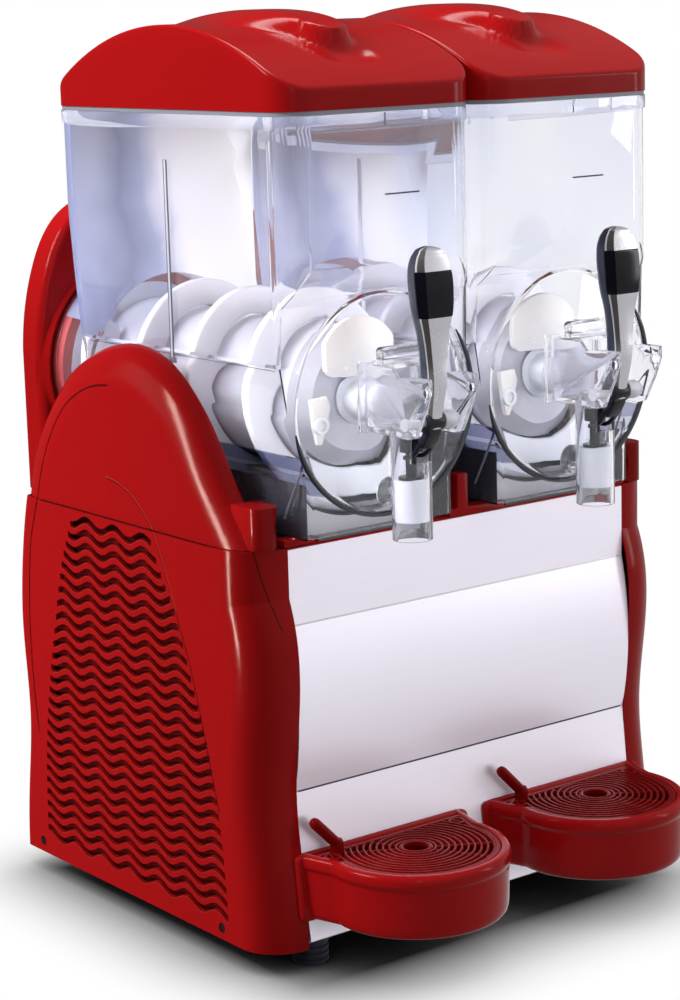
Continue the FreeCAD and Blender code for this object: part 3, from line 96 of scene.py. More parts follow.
def mathed(tree, operation, *values):
    """One Math node; numbers or sockets go in, its value comes out."""
    return added(tree, "Math", enumerate(values), operation=operation).outputs[0]


def ranged(tree, value, from_low, from_high, to_low, to_high):
    """A Map Range node, clamped."""
    labels = ("Value", "From Min", "From Max", "To Min", "To Max")
    return added(tree, "MapRange", zip(labels, (value, from_low, from_high, to_low, to_high))).outputs[0]


def ramped(tree, factor, stops):
    """Colours between stops of (place, colour), by a factor."""
    node = added(tree, "ValToRGB", {"Fac": factor})
    elements = node.color_ramp.elements
    elements[0].position, elements[1].position = stops[0][0], stops[-1][0]
    for place, _ in stops[1:-1]:
        elements.new(place)
    for element, (_, colour) in zip(elements, stops):
        element.color = (*colour, 1)
    return node.outputs["Color"]


HAZE_SCALE, SPECK_SCALE, SPECK_SHARE = 14.0, 900.0, 0.2
GRAIN_STRETCH, GRAIN_DRIFT_SCALE, DRIFT_SHARE = (6.0, 900.0, 900.0), 5.0, 0.3


def weighed(tree, first, second, share):
    """Two values added up, the second with this share."""
    return mathed(tree, "ADD", mathed(tree, "MULTIPLY", first, 1 - share), mathed(tree, "MULTIPLY", second, share))


def moulded_group():
    """Slow noise, the ripple of the mould, for the height; haze with fine specks for the roughness."""
    tree, start, end = effect_group("moulded_surface", {"Ripple": 90.0, "Low": 0.2, "High": 0.3},
                                    ["Roughness", "Height"])
    place = start.outputs["Position"]
    ripple = noise(tree, place, start.outputs["Ripple"], 2.0)
    haze, specks = noise(tree, place, HAZE_SCALE, 5.0, 0.7), noise(tree, place, SPECK_SCALE, 1.0)
    mixed = weighed(tree, haze, specks, SPECK_SHARE)
    rough = ranged(tree, mixed, 0.3, 0.7, start.outputs["Low"], start.outputs["High"])
    tree.links.new(rough, end.inputs["Roughness"])
    tree.links.new(ripple, end.inputs["Height"])
    return tree


def grain_group():
    """Brushed grain: noise drawn out long along the brushing direction, with a slow change of tone."""
    tree, start, end = effect_group("brushed_grain", {"Low": 0.25, "High": 0.4}, ["Roughness", "Height", "Tone"])
    place = start.outputs["Position"]
    lines = noise(tree, stretched(tree, place, GRAIN_STRETCH), 1.0, 4.0, 0.65)
    rough = ranged(tree, lines, 0.3, 0.7, start.outputs["Low"], start.outputs["High"])
    tone = weighed(tree, lines, noise(tree, place, GRAIN_DRIFT_SCALE, 2.0), DRIFT_SHARE)
    tree.links.new(rough, end.inputs["Roughness"])
    tree.links.new(lines, end.inputs["Height"])
    tree.links.new(tone, end.inputs["Tone"])
    return tree


MOULDED = moulded_group()
GRAIN = grain_group()
print("effects:", MOULDED.name, GRAIN.name)

# %% [markdown]
# ## Finishes
# Every finish is one Principled BSDF with plain numbers for what is the same all over, and a node group for what
# changes over the surface.

# %% Material helpers
def node_of(tree, kind):
    """The first node of a type in a tree."""
    return next(node for node in tree.nodes if node.type == kind)


def new_finish(name, colour, **numbers):
    """A material whose Principled BSDF has these plain values; returns it with its tree and shader."""
    material = bpy.data.materials.new(name)
    material.use_nodes = True
    tree = material.node_tree
    shader = node_of(tree, "BSDF_PRINCIPLED")
    shader.inputs["Base Color"].default_value = (*colour, 1.0)
    for label, value in numbers.items():
        shader.inputs[label.replace("_", " ")].default_value = value
    return material, tree, shader


def place_of(tree):
    """Object coordinates: metres from the model's origin."""
    return added(tree, "TexCoord").outputs["Object"]


def textured(tree, shader, group, depth, **numbers):
    """Places a node group, whose roughness and height then vary the shader; depth is that of its relief."""
    node = added(tree, "Group", {"Position": place_of(tree), **numbers}, node_tree=group)
    bump = added(tree, "Bump", {"Height": node.outputs["Height"], "Distance": depth, "Strength": 1.0})
    tree.links.new(node.outputs["Roughness"], shader.inputs["Roughness"])
    tree.links.new(bump.outputs["Normal"], shader.inputs["Normal"])
    return node


def moulded(name, colour, low, high, ripple=90.0, depth=0.00003, **numbers):
    """A moulded plastic or rubber finish."""
    material, tree, shader = new_finish(name, colour, **numbers)
    textured(tree, shader, MOULDED, depth, Ripple=ripple, Low=low, High=high)
    return material


def brushed(name, dark, light, low, high, depth=0.00002, metal=1.0):
    """A brushed metal finish whose grain runs along X."""
    material, tree, shader = new_finish(name, light, Metallic=metal)
    node = textured(tree, shader, GRAIN, depth, Low=low, High=high)
    tone = ramped(tree, node.outputs["Tone"], ((0.3, dark), (0.7, light)))
    tree.links.new(tone, shader.inputs["Base Color"])
    return material


def two_ways(tree, share, first, second):
    """A Mix Shader between two shaders."""
    return added(tree, "MixShader", {0: share, 1: first.outputs[0], 2: second.outputs[0]})


def clear(name, colour, ior, haze=0.0, roughness=0.0):
    """Clear plastic: it bends light for the eye but lets the lamps' light straight through; haze is milkiness."""
    material, tree, shader = new_finish(name, colour, Transmission_Weight=1.0 - haze, IOR=ior, Roughness=roughness)
    window = added(tree, "BsdfTransparent", {"Color": (*[value ** 0.5 for value in colour], 1)})
    mix = two_ways(tree, added(tree, "LightPath").outputs["Is Shadow Ray"], shader, window)
    tree.links.new(mix.outputs[0], node_of(tree, "OUTPUT_MATERIAL").inputs["Surface"])
    return material


# %% The finishes by material slot
FINISHES = {
    "red_gloss": moulded("candy_red", (0.42, 0.006, 0.007), 0.12, 0.2, 60.0, 0.00002, Specular_IOR_Level=0.08),
    "clear_bowl": clear("clear_polycarbonate", (0.93, 0.94, 1.0), 1.45, haze=0.2),
    "clear_tap": clear("clear_tap_plastic", (0.95, 0.95, 0.98), 1.22, haze=0.045),
    "brushed_steel": brushed("brushed_stainless", (0.7, 0.665, 0.745), (0.75, 0.71, 0.795), 0.38, 0.46,
                             metal=0.6, depth=0.000004),
    "cooling_steel": moulded("satin_cooling_steel", (0.6, 0.6, 0.69), 0.3, 0.42, 200.0, Metallic=0.25),
    "frame_steel": moulded("grey_coated_steel", (0.32, 0.33, 0.35), 0.4, 0.55),
    "black_plastic": moulded("dark_satin_plastic", (0.007, 0.0075, 0.016), 0.25, 0.4, Specular_IOR_Level=0.2),
    "switch_black": moulded("rocker_black", (0.01, 0.01, 0.01), 0.2, 0.3),
    "white_plastic": moulded("white_nylon", (0.73, 0.73, 0.8), 0.3, 0.42, Subsurface_Weight=0.1),
    "grey_seal": moulded("grey_silicone", (0.32, 0.33, 0.38), 0.35, 0.5),
    "red_seal": moulded("red_silicone", (0.35, 0.02, 0.025), 0.35, 0.5),
    "dark_rubber": moulded("foot_rubber", (0.012, 0.014, 0.03), 0.45, 0.6, 300.0, 0.00008),
    "lever_chrome": moulded("lever_silver", (0.66, 0.66, 0.68), 0.12, 0.2, Metallic=0.9),
    "piston_black": moulded("piston_black_gloss", (0.005, 0.0055, 0.012), 0.15, 0.25, Specular_IOR_Level=0.2),
    "shaft_steel": brushed("ground_shaft_steel", (0.45, 0.45, 0.47), (0.62, 0.62, 0.64), 0.25, 0.35),
    "motor_metal": moulded("cast_motor_grey", (0.1, 0.105, 0.115), 0.45, 0.6, 400.0, 0.0001, Metallic=0.5),
    "compressor_black": moulded("black_enamel", (0.01, 0.01, 0.012), 0.25, 0.35),
    "fin_aluminium": brushed("fin_aluminium", (0.6, 0.61, 0.63), (0.75, 0.76, 0.78), 0.3, 0.45),
    "copper": moulded("bare_copper", (0.72, 0.3, 0.16), 0.25, 0.4, Metallic=1.0),
    "tray_grey": moulded("grey_translucent", (0.13, 0.12, 0.14), 0.2, 0.3),
    "screw_steel": moulded("dark_screw", (0.08, 0.06, 0.06), 0.3, 0.45, Metallic=0.8),
}

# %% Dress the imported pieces
for node, slot in slot_of_node.items():
    for place in frame["nodes"][node].material_slots:
        place.material = FINISHES[slot]
print("finishes:", len(FINISHES))

# %% [markdown]
# ## Building surfaces from numbers
# A moulded piece is a smooth sheet, so each one here is a grid of points worked out at once with numpy: rows and
# columns are the two parameters of its surface. One helper turns grids into a mesh in metres with its faces
# outwards.

# %% Mesh helpers
MM = 0.001
SIDES = {"left": -1, "right": 1}
BOWL_X, TRAY_X, AXIS_Z = 112.0, 113.0, 522.0
CREASE_ANGLE, MERGED = math.radians(38), 1e-6


def placed(name, data):
    """A new object in the scene."""
    thing = bpy.data.objects.new(name, data)
    bpy.context.collection.objects.link(thing)
    return thing


def edited(mesh, change):
    """Opens a mesh, changes it and writes it back."""
    shape = bmesh.new()
    shape.from_mesh(mesh)
    change(shape)
    shape.to_mesh(mesh)
    shape.free()


def creased(shape, crease=CREASE_ANGLE):
    """Smooth faces with sharp edges only where the surface really turns."""
    for edge in shape.edges:
        edge.smooth = len(edge.link_faces) == 2 and edge.calc_face_angle(0.0) < crease
    for face in shape.faces:
        face.smooth = True


def joined(x, y, z):
    """Points from their coordinates, which are numbers or arrays of shapes that fit each other."""
    return np.stack(np.broadcast_arrays(x, y, z), axis=-1).astype(float)


def border(points):
    """The loop of points round a grid."""
    return np.concatenate([points[0, :-1], points[:-1, -1], points[-1, :0:-1], points[:0:-1, 0]])


def grid_faces(rows, columns, wrap_rows=False, wrap_columns=False, first=0):
    """Quads between neighbouring points of a grid that is numbered row by row."""
    row = np.arange(rows if wrap_rows else rows - 1)[:, None]
    column = np.arange(columns if wrap_columns else columns - 1)[None, :]
    below, beside = (row + 1) % rows, (column + 1) % columns
    corners = (row * columns + column, row * columns + beside, below * columns + beside, below * columns + column)
    return np.stack(corners, axis=-1).reshape(-1, 4) + first


class Build:
    """Collects the grids of one piece, in millimetres and moved sideways by x; each face has a material number."""

    def __init__(self, x=0.0):
        self.points, self.faces, self.paint, self.count, self.x = [], [], [], 0, x

    def grid(self, points, wrap_rows=False, wrap_columns=False, paint=0):
        """Adds rows x columns points as quads; paint is one number or one for each quad."""
        points = np.asarray(points, float) + (self.x, 0, 0)
        rows, columns = points.shape[:2]
        faces = grid_faces(rows, columns, wrap_rows, wrap_columns, self.count)
        self.points.append(points.reshape(-1, 3))
        self.faces += faces.tolist()
        self.paint += np.broadcast_to(paint, len(faces)).tolist()
        self.count += rows * columns
        return self

    def tube(self, rings, paint=0, closed=False):
        """Adds rings of points as a closed skin, with a flat face over each end unless it is closed in a loop."""
        first = self.count
        rings = np.asarray(rings, float)
        self.grid(rings, wrap_rows=closed, wrap_columns=True, paint=paint)
        if not closed:
            columns = rings.shape[1]
            last = first + (rings.shape[0] - 1) * columns
            ends = paint if np.isscalar(paint) else int(np.ravel(paint)[0])
            self.faces += [list(range(first, first + columns))[::-1], list(range(last, last + columns))]
            self.paint += [ends, ends]
        return self

    def piece(self, name, body, slot, materials=None, stands_for=(), crease=CREASE_ANGLE):
        """Makes the mesh object, in its slot's finish unless materials are given, with edges sharp over crease."""
        mesh = bpy.data.meshes.new(name)
        mesh.from_pydata(np.concatenate(self.points) * MM, [], self.faces)
        for material in materials or [FINISHES[slot]]:
            mesh.materials.append(material)
        mesh.polygons.foreach_set("material_index", self.paint)

        def finished(shape):
            bmesh.ops.remove_doubles(shape, verts=shape.verts, dist=MERGED)
            bmesh.ops.recalc_face_normals(shape, faces=shape.faces)
            creased(shape, crease)

        edited(mesh, finished)
        thing = placed(name, mesh)
        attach(thing, body)
        if stands_for:
            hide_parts(*stands_for)
        return thing


def apply_modifiers(thing):
    """Keeps what the modifiers of a piece made as its own mesh."""
    graph = bpy.context.evaluated_depsgraph_get()
    made = bpy.data.meshes.new_from_object(thing.evaluated_get(graph))
    thing.modifiers.clear()
    thing.data = made
    return thing


def thickened(thing, thickness, offset=-1.0):
    """Gives an open sheet its wall, inwards."""
    wall = thing.modifiers.new("wall", "SOLIDIFY")
    wall.thickness, wall.offset, wall.use_even_offset = thickness * MM, offset, True
    return apply_modifiers(thing)


def smoothstep(value, low, high):
    """0 below low, 1 above high and a smooth S between."""
    share = np.clip((value - low) / (high - low), 0, 1)
    return share * share * (3 - 2 * share)


def edge_steps(count, fine=(0.0, 0.35, 0.9, 1.8, 3.0, 4.6), span=100.0):
    """Shares from -1 to 1, crowded at both ends where a surface rounds over."""
    ends = 1 - np.array(fine) / span
    inner = np.linspace(-ends[-1], ends[-1], count)
    return np.concatenate([-ends[:-1], inner, ends[:-1][::-1]])


# %% Rings and bars
def smooth_table(table, places):
    """Rows of a table joined by Catmull-Rom curves and read at places of its first column."""
    table = np.asarray(table, float)
    key = table[:, 0]
    slope = np.gradient(table, key, axis=0)
    index = np.clip(np.searchsorted(key, places) - 1, 0, len(key) - 2)
    step = (key[index + 1] - key[index])[:, None]
    t = (places - key[index])[:, None] / step
    return ((2 * t ** 3 - 3 * t ** 2 + 1) * table[index] + (t ** 3 - 2 * t ** 2 + t) * step * slope[index]
            + (3 * t ** 2 - 2 * t ** 3) * table[index + 1] + (t ** 3 - t ** 2) * step * slope[index + 1])


def turned_rings(profile, centre, axis, steps=40):
    """Circles along an axis: (place along it, radius) pairs turned about it."""
    profile = np.asarray(profile, float)
    turn = np.linspace(0, 2 * math.pi, steps, endpoint=False)
    along = np.broadcast_to(profile[:, :1], (len(profile), steps))
    first, second = profile[:, 1:] * np.cos(turn), profile[:, 1:] * np.sin(turn)
    columns = {"x": (along, first, second), "y": (first, along, second), "z": (first, second, along)}[axis]
    return joined(*columns) + np.asarray(centre, float)


def arc(start, end, steps, radius=1.0, middle=(0.0, 0.0)):
    """Points of a circle between two angles in degrees, as (across, up) rows."""
    turn = np.radians(np.linspace(start, end, steps))
    return np.asarray(middle) + radius * np.column_stack([np.cos(turn), np.sin(turn)])


def round_box(half_across, half_deep, corner, steps=3):
    """A rounded rectangle as a loop of (across, deep) points."""
    middle = np.array([half_across - corner, half_deep - corner])
    return np.concatenate([arc(start, start + 90, steps + 1, corner, middle * signs)
                           for start, signs in ((0, (1, 1)), (90, (-1, 1)), (180, (-1, -1)), (270, (1, -1)))])


def bar_rings(path, half_across, half_thick, corner, x=0.0):
    """A rounded bar whose section stands square to a path of (y, z) points."""
    path = np.asarray(path, float)
    ahead = np.gradient(path, axis=0)
    ahead /= np.linalg.norm(ahead, axis=1, keepdims=True)
    section = round_box(half_across, half_thick, corner)
    y = path[:, :1] - ahead[:, 1:] * section[None, :, 1]
    z = path[:, 1:] + ahead[:, :1] * section[None, :, 1]
    return joined(section[None, :, 0] + x, y, z)


def capsule_rings(foot, head, profile, steps=28):
    """Circles square to the line from foot to head: (share of the length, radius) pairs."""
    foot, head = np.array(foot, float), np.array(head, float)
    along = (head - foot) / np.linalg.norm(head - foot)
    side_way = np.cross(along, (0, 1, 0.01))
    side_way /= np.linalg.norm(side_way)
    other = np.cross(along, side_way)
    turn = np.linspace(0, 2 * math.pi, steps, endpoint=False)[:, None]
    return np.array([foot + (head - foot) * share + radius * (np.cos(turn) * side_way + np.sin(turn) * other)
                     for share, radius in profile])


def both_sides(make):
    """Makes a piece for each side and prints what it became."""
    for side in SIDES:
        made = make(side)
        print(made.name, len(made.data.polygons), "faces")


# %% [markdown]
# ## Lids
# Each lid is a barrel vault with upright sides. A ridge to lift it by runs along the top; its flanks flow out into
# the vault, and it ends at the front in a rounded nose above a scoop for the fingers. A height for every point of
# the plan gives all of this at once: vault + ridge - scoop - edge rounding.

# %% Lids
LID_FRONT, LID_REAR, LID_HALF, LID_CORNER, LID_LOW, LID_WALL = -174.0, 211.0, 110.0, 32.0, 784.0, 3.0
VAULT_Y, VAULT_Z, VAULT_RADIUS = 11.5, 524.2, 334.9
RIDGE, RIDGE_FRONT, RIDGE_REAR, RIDGE_NOSE = 11.0, 3.6, 2.0, -86.0
RIDGE_HALF, RIDGE_FOOT, HALF_LESS, FOOT_MORE = 20.0, 27.0, 8.0, 55.0
SCOOP, SCOOP_Y, SCOOP_WIDE, SCOOP_LONG, LID_RIM = 4.5, -124.0, 25.0, 14.0, 3.0


def plan_depth(x, y, half, front, rear, corner):
    """How far a plan point lies inside a rounded rectangle."""
    across = np.abs(x) - (half - corner)
    along = np.maximum(front + corner - y, y - (rear - corner))
    outside = np.hypot(np.maximum(across, 0), np.maximum(along, 0))
    return corner - outside - np.minimum(np.maximum(across, along), 0)


def plan_half(y, half, front, rear, corner):
    """Half width of a rounded rectangle at y."""
    along = np.clip(np.maximum(front + corner - y, y - (rear - corner)), 0, corner)
    return half - corner + np.sqrt(np.maximum(corner ** 2 - along ** 2, 0))


def lid_height(x, y):
    """Vault (a circle seen from the side) + ridge, softer at the rear - scoop - rounding of the rim."""
    vault = VAULT_Z + np.sqrt(VAULT_RADIUS ** 2 - (y - VAULT_Y) ** 2)
    rise = RIDGE + RIDGE_FRONT * smoothstep(-y, -10, 100) + RIDGE_REAR * smoothstep(y, 30, 110)
    rise = rise * (1 - smoothstep(y, 95, 175))
    reach = np.where(y < RIDGE_NOSE, np.hypot(x, y - RIDGE_NOSE), np.abs(x))
    soft = 1 - smoothstep(-y, 20, 92)
    ridge = rise * (1 - smoothstep(reach, RIDGE_HALF - HALF_LESS * soft, RIDGE_FOOT + FOOT_MORE * soft))
    scoop = SCOOP * np.exp(-((x / SCOOP_WIDE) ** 4 + ((y - SCOOP_Y) / SCOOP_LONG) ** 2))
    scoop = scoop * smoothstep(-y, 104, 114)
    depth = np.clip(plan_depth(x, y, LID_HALF, LID_FRONT, LID_REAR, LID_CORNER), 0, LID_RIM)
    return vault + ridge - scoop - (LID_RIM - np.sqrt(np.maximum(LID_RIM ** 2 - (LID_RIM - depth) ** 2, 0)))


def make_lid(side):
    """One lid: the height grid, its upright band, and a wall inwards."""
    across, along = edge_steps(56), edge_steps(96, span=190.0)
    y = ((LID_REAR - LID_FRONT) * along + LID_REAR + LID_FRONT) / 2
    x = across[None, :] * plan_half(y, LID_HALF, LID_FRONT, LID_REAR, LID_CORNER)[:, None]
    y = y[:, None]
    top = joined(x, y, lid_height(x, y))
    edge = border(top)
    levels = np.linspace(0, 1, 7)[:, None, None]
    foot = edge.copy()
    foot[:, 2] = LID_LOW
    band = edge[None] * (1 - levels) + foot[None] * levels
    shape = Build(SIDES[side] * BOWL_X).grid(top).grid(band, wrap_columns=True)
    lid = shape.piece(f"{side}_lid_shell", f"{side}_lid_set", "red_gloss", stands_for=[f"{side}_lid"])
    return thickened(lid, LID_WALL)


both_sides(make_lid)

# %% [markdown]
# ## Augers
# The auger is one white ribbon wound round the cooling cylinder. Its section is a rounded bar, a little thicker at
# the rim, carried along a helix; the front end flows into a flat arm and a hub on the shaft.

# %% Augers
AUGER_PITCH, AUGER_TURNS, AUGER_FRONT, AUGER_MIDDLE = 91.0, 3.6, -128.0, 82.0
TAPER_TURN, TAPER_LEAST = 0.12, 0.35


def rounded_bar(inner, outer, thick_inner, thick_outer, corner, steps=4):
    """A closed section of a bar with rounded corners: (radius, along) points."""
    low, high, near, far = inner + corner, outer - corner, thick_inner / 2 - corner, thick_outer / 2 - corner
    return np.concatenate([arc(start, start + 90, steps + 1, corner, middle) for start, middle in (
        (180, (low, -near)), (270, (high, -far)), (0, (high, far)), (90, (low, near)))])


def make_auger(side):
    """The ribbon: section points turned about the axis while they move along it; both ends taper."""
    section = rounded_bar(68.0, 96.0, 7.0, 10.0, 2.6)
    angle = np.linspace(0, AUGER_TURNS * 2 * math.pi, int(AUGER_TURNS * 72) + 1)[:, None]
    ends = np.minimum(1, np.minimum(angle, angle[-1] - angle) / TAPER_TURN + TAPER_LEAST)
    radius = AUGER_MIDDLE + (section[None, :, 0] - AUGER_MIDDLE) * ends ** 0.5
    along = AUGER_FRONT + AUGER_PITCH * angle / (2 * math.pi) + section[None, :, 1] * ends
    ribbon = joined(radius * np.cos(angle), along, AXIS_Z - radius * np.sin(angle))
    return Build(SIDES[side] * BOWL_X).tube(ribbon).piece(
        f"{side}_auger_ribbon", f"{side}_auger_set", "white_plastic", stands_for=[f"{side}_auger"])


both_sides(make_auger)

# %% [markdown]
# ## Softened copies
# Real moulded pieces have no razor edges: each edge is rounded by a millimetre or less, and that is where the light
# catches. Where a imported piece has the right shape, its copy gets such edges from a small bevel.

# %% Soft edges
def cleaned(shape):
    """Merges doubled points and joins faces that lie in one plane."""
    bmesh.ops.remove_doubles(shape, verts=shape.verts, dist=2 * MERGED)
    bmesh.ops.dissolve_limit(shape, angle_limit=math.radians(0.3), verts=shape.verts, edges=shape.edges)


def eased(node, width, finishes=None, segments=2, angle=28, name=None):
    """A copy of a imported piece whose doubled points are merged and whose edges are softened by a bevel."""
    mesh = frame["nodes"][node].data.copy()
    edited(mesh, cleaned)
    thing = placed(name or f"{node}_soft", mesh)
    soften = thing.modifiers.new("soften", "BEVEL")
    soften.width, soften.segments, soften.limit_method = width * MM, segments, "ANGLE"
    soften.angle_limit, soften.use_clamp_overlap = math.radians(angle), True
    apply_modifiers(thing)
    if finishes:
        thing.data.materials.clear()
        for finish in finishes:
            thing.data.materials.append(finish)
    edited(thing.data, creased)
    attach(thing, body_of_node[node])
    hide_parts(node)
    return thing


def parted(thing, front, gap, near=0.4):
    """Draws a piece's rear face back from the one it touches, so that light meets one surface at a time."""
    places = np.empty(len(thing.data.vertices) * 3)
    thing.data.vertices.foreach_get("co", places)
    places = places.reshape(-1, 3)
    touching = places[:, 1] > (front - near) * MM
    places[touching, 1] = np.minimum(places[touching, 1], (front - gap) * MM)
    thing.data.vertices.foreach_set("co", places.ravel())
    thing.data.update()


SOFT_EDGES = {"deck_trim": 1.2, "condensate_trays": 0.8, "left_tap_body": 0.7, "right_tap_body": 0.7,
              "left_arch_cover": 1.4, "right_arch_cover": 1.4}
DRUM_FACE = -165.0
for node, width in SOFT_EDGES.items():
    made = eased(node, width)
    if node.endswith("tap_body"):
        parted(made, DRUM_FACE, 0.3)
    print(made.name, len(made.data.polygons), "faces")

# %% [markdown]
# ## Bowls
# A bowl is one clear moulding: hopper, drum and skirt. Its edges are soft, and its rear wall is milky where the red
# housing stands behind it, with painted light and shade from blue-grey on the left to white on the right. The drum
# is clearest, but its low flanks carry painted shade, dark like the deck seen through them.

# %% Bowls
def tinted(material, factor, stops):
    """The material with its base colour read from stops by a factor."""
    tree = material.node_tree
    tree.links.new(ramped(tree, factor, stops), node_of(tree, "BSDF_PRINCIPLED").inputs["Base Color"])
    return material


def clear_tinted(name, pale, deep, ior, haze):
    """Clear plastic whose tint drifts slowly over the surface, like wiping marks and thickness."""
    material = clear(name, pale, ior, haze)
    tree = material.node_tree
    drift = noise(tree, stretched(tree, place_of(tree), (9.0, 9.0, 3.5)), 1.0, 1.5, 0.4)
    return tinted(material, drift, ((0.38, deep), (0.62, pale)))


# Painted light and shade: the rear wall's colour runs from blue-grey on the left of each bowl to white on its
# right.
WALL_PAINTED_LIGHT_STOPS = ((0.1, (0.45, 0.48, 0.68)), (0.25, (0.2, 0.23, 0.4)), (0.42, (0.4, 0.44, 0.64)),
               (0.54, (0.95, 0.95, 1.0)), (0.9, (1.0, 1.0, 1.0)))


def milky_painted_light_wall():
    """Milky plastic with painted light and shade: blue-grey in the left half of each bowl and nearly white on its
    right.
    """
    material = clear("rear_wall_milky_painted_light", (0.8, 0.82, 0.9), 1.3, 0.75, 0.35)
    tree = material.node_tree
    place = place_of(tree)
    bowl_width = 2 * BOWL_X * MM
    x = added(tree, "SeparateXYZ", {0: place}).outputs["X"]
    across = mathed(tree, "FLOORED_MODULO", mathed(tree, "ADD", x, bowl_width), bowl_width)
    drift = mathed(tree, "SUBTRACT", noise(tree, place, 9.0, 2.0), 0.5)
    spread = mathed(tree, "ADD", across, mathed(tree, "MULTIPLY", drift, 0.1))
    return tinted(material, ranged(tree, spread, 0.0, 0.22, 0.0, 1.0), WALL_PAINTED_LIGHT_STOPS)


BOWL_FINISHES = [
    clear_tinted("hopper_clear", (0.985, 0.985, 1.0), (0.9, 0.915, 0.985), 1.4, 0.04),
    clear_tinted("drum_clear", (0.99, 0.99, 1.0), (0.95, 0.955, 0.99), 1.3, 0.015),
    milky_painted_light_wall(),
    clear_tinted("rim_clear", (0.85, 0.87, 0.97), (0.7, 0.73, 0.88), 1.4, 0.2),
    # Painted shade: a dark blue tint for the drum's low flanks, where the deck is seen dark through them.
    clear_tinted("drum_shade", (0.3, 0.31, 0.45), (0.16, 0.17, 0.27), 1.2, 0.0),
]
DRUM_TOP, DRUM_REACH, REAR_WALL_Y, REAR_WALL_LOW, RIM_Z = 560.0, 102.5, 168.0, 572.0, 767.5
FLANK_REACH, FLANK_BESIDE, FLANK_TOP, FLANK_FRONT = 106.0, 60.0, 482.0, -150.0


def paint_bowl(mesh):
    """Hopper 0, drum and skirt 1, rear wall 2, rim 3, the drum's low flanks in painted shade 4, by where each face
    lies.
    """
    centres = np.empty(len(mesh.polygons) * 3)
    mesh.polygons.foreach_get("center", centres)
    x, y, z = centres.reshape(-1, 3).T / MM
    beside = np.abs(np.abs(x) - BOWL_X)
    reach = np.hypot(beside, z - AXIS_Z)
    finish = np.zeros(len(mesh.polygons), dtype=int)
    finish[(z < DRUM_TOP) | (reach < DRUM_REACH)] = 1
    finish[(y > REAR_WALL_Y) & (z > REAR_WALL_LOW)] = 2
    finish[z > RIM_Z] = 3
    finish[(reach < FLANK_REACH) & (beside > FLANK_BESIDE) & (z < FLANK_TOP) & (y > FLANK_FRONT)] = 4
    mesh.polygons.foreach_set("material_index", finish)
    mesh.update()


def make_bowl(side):
    """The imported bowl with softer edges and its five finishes."""
    bowl = eased(f"{side}_bowl", 1.4, BOWL_FINISHES, segments=3, angle=14, name=f"{side}_bowl_clear")
    paint_bowl(bowl.data)
    return bowl


both_sides(make_bowl)

# %% [markdown]
# ## What belongs to the bowls
# Each bowl has a slim upright rib on its left wall, whose edges carry painted shade on the left bowl, and a plain
# fill line in front. A fine grey line of painted shade follows the crease of its hopper, and a dark bead of painted
# reflection, for the deck seen dark through the drum's thick front edge, runs round the lower front edge of its
# drum.
# Thin rods tie the drum to the deck. Sheets of dark painted shade stand inside the skirt, and a pale apron covers
# the front of the cradle.

# %% Ribs, fill lines, crease shade, painted bead, rods, painted shade sheets and aprons
INK = moulded("fill_line_ink", (0.012, 0.012, 0.015), 0.4, 0.5)
# Painted reflection: a dark bead for the deck seen dark through the drum's thick front edge.
PAINTED_REFLECTION_BEAD = moulded("bead_painted_reflection", (0.018, 0.02, 0.035), 0.12, 0.2, Coat_Weight=0.5)
RIB_EDGE = moulded("rib_grey", (0.2, 0.2, 0.26), 0.2, 0.3)
RIB_PALE = moulded("rib_pale", (0.82, 0.83, 0.9), 0.15, 0.25)
# Painted shade: grey edges on the left bowl's rib only; the right rib is pale all over.
RIB_PAIR = {"left": [RIB_EDGE, RIB_PALE], "right": [RIB_PALE, RIB_PALE]}
# Painted shade: a fine grey line along the hopper's clear crease, where the crease looks dark.
CREASE_PAINTED_SHADE = moulded("crease_painted_shade_grey", (0.1, 0.1, 0.16), 0.2, 0.3)
APRON = moulded("apron_pale", (0.72, 0.71, 0.78), 0.3, 0.4)
# Painted shade: a dark navy for sheets inside the skirt that stand for its dark side walls.
SHADE_SHEET_NAVY = moulded("painted_shade_navy", (0.008, 0.009, 0.02), 0.2, 0.32, Specular_IOR_Level=0.4)


def slab(loop, places):
    """A loop of (x, z) points carried along y."""
    return np.array([joined(loop[:, 0], y, loop[:, 1]) for y in places])


def bar(low_x, high_x, low_z, high_z, low_y, high_y, corner):
    """A straight bar along y with a rounded section."""
    loop = round_box((high_x - low_x) / 2, (high_z - low_z) / 2, corner, 2)
    return slab(loop + ((high_x + low_x) / 2, (high_z + low_z) / 2), (low_y, high_y))


def bead_rings(radius, y, start, end, half, steps=90, tapered=8, least=0.3):
    """A round bead bent to an arc about the drum's axis; its ends taper."""
    turn = np.radians(np.linspace(start, end, steps))[:, None]
    around = np.linspace(0, 2 * math.pi, 12, endpoint=False)[None]
    taper = np.minimum(1, np.minimum(np.arange(steps), np.arange(steps)[::-1]) / tapered + least)[:, None]
    reach = radius + half * taper * np.cos(around)
    return joined(reach * np.cos(turn), y + half * taper * np.sin(around), AXIS_Z + reach * np.sin(turn))


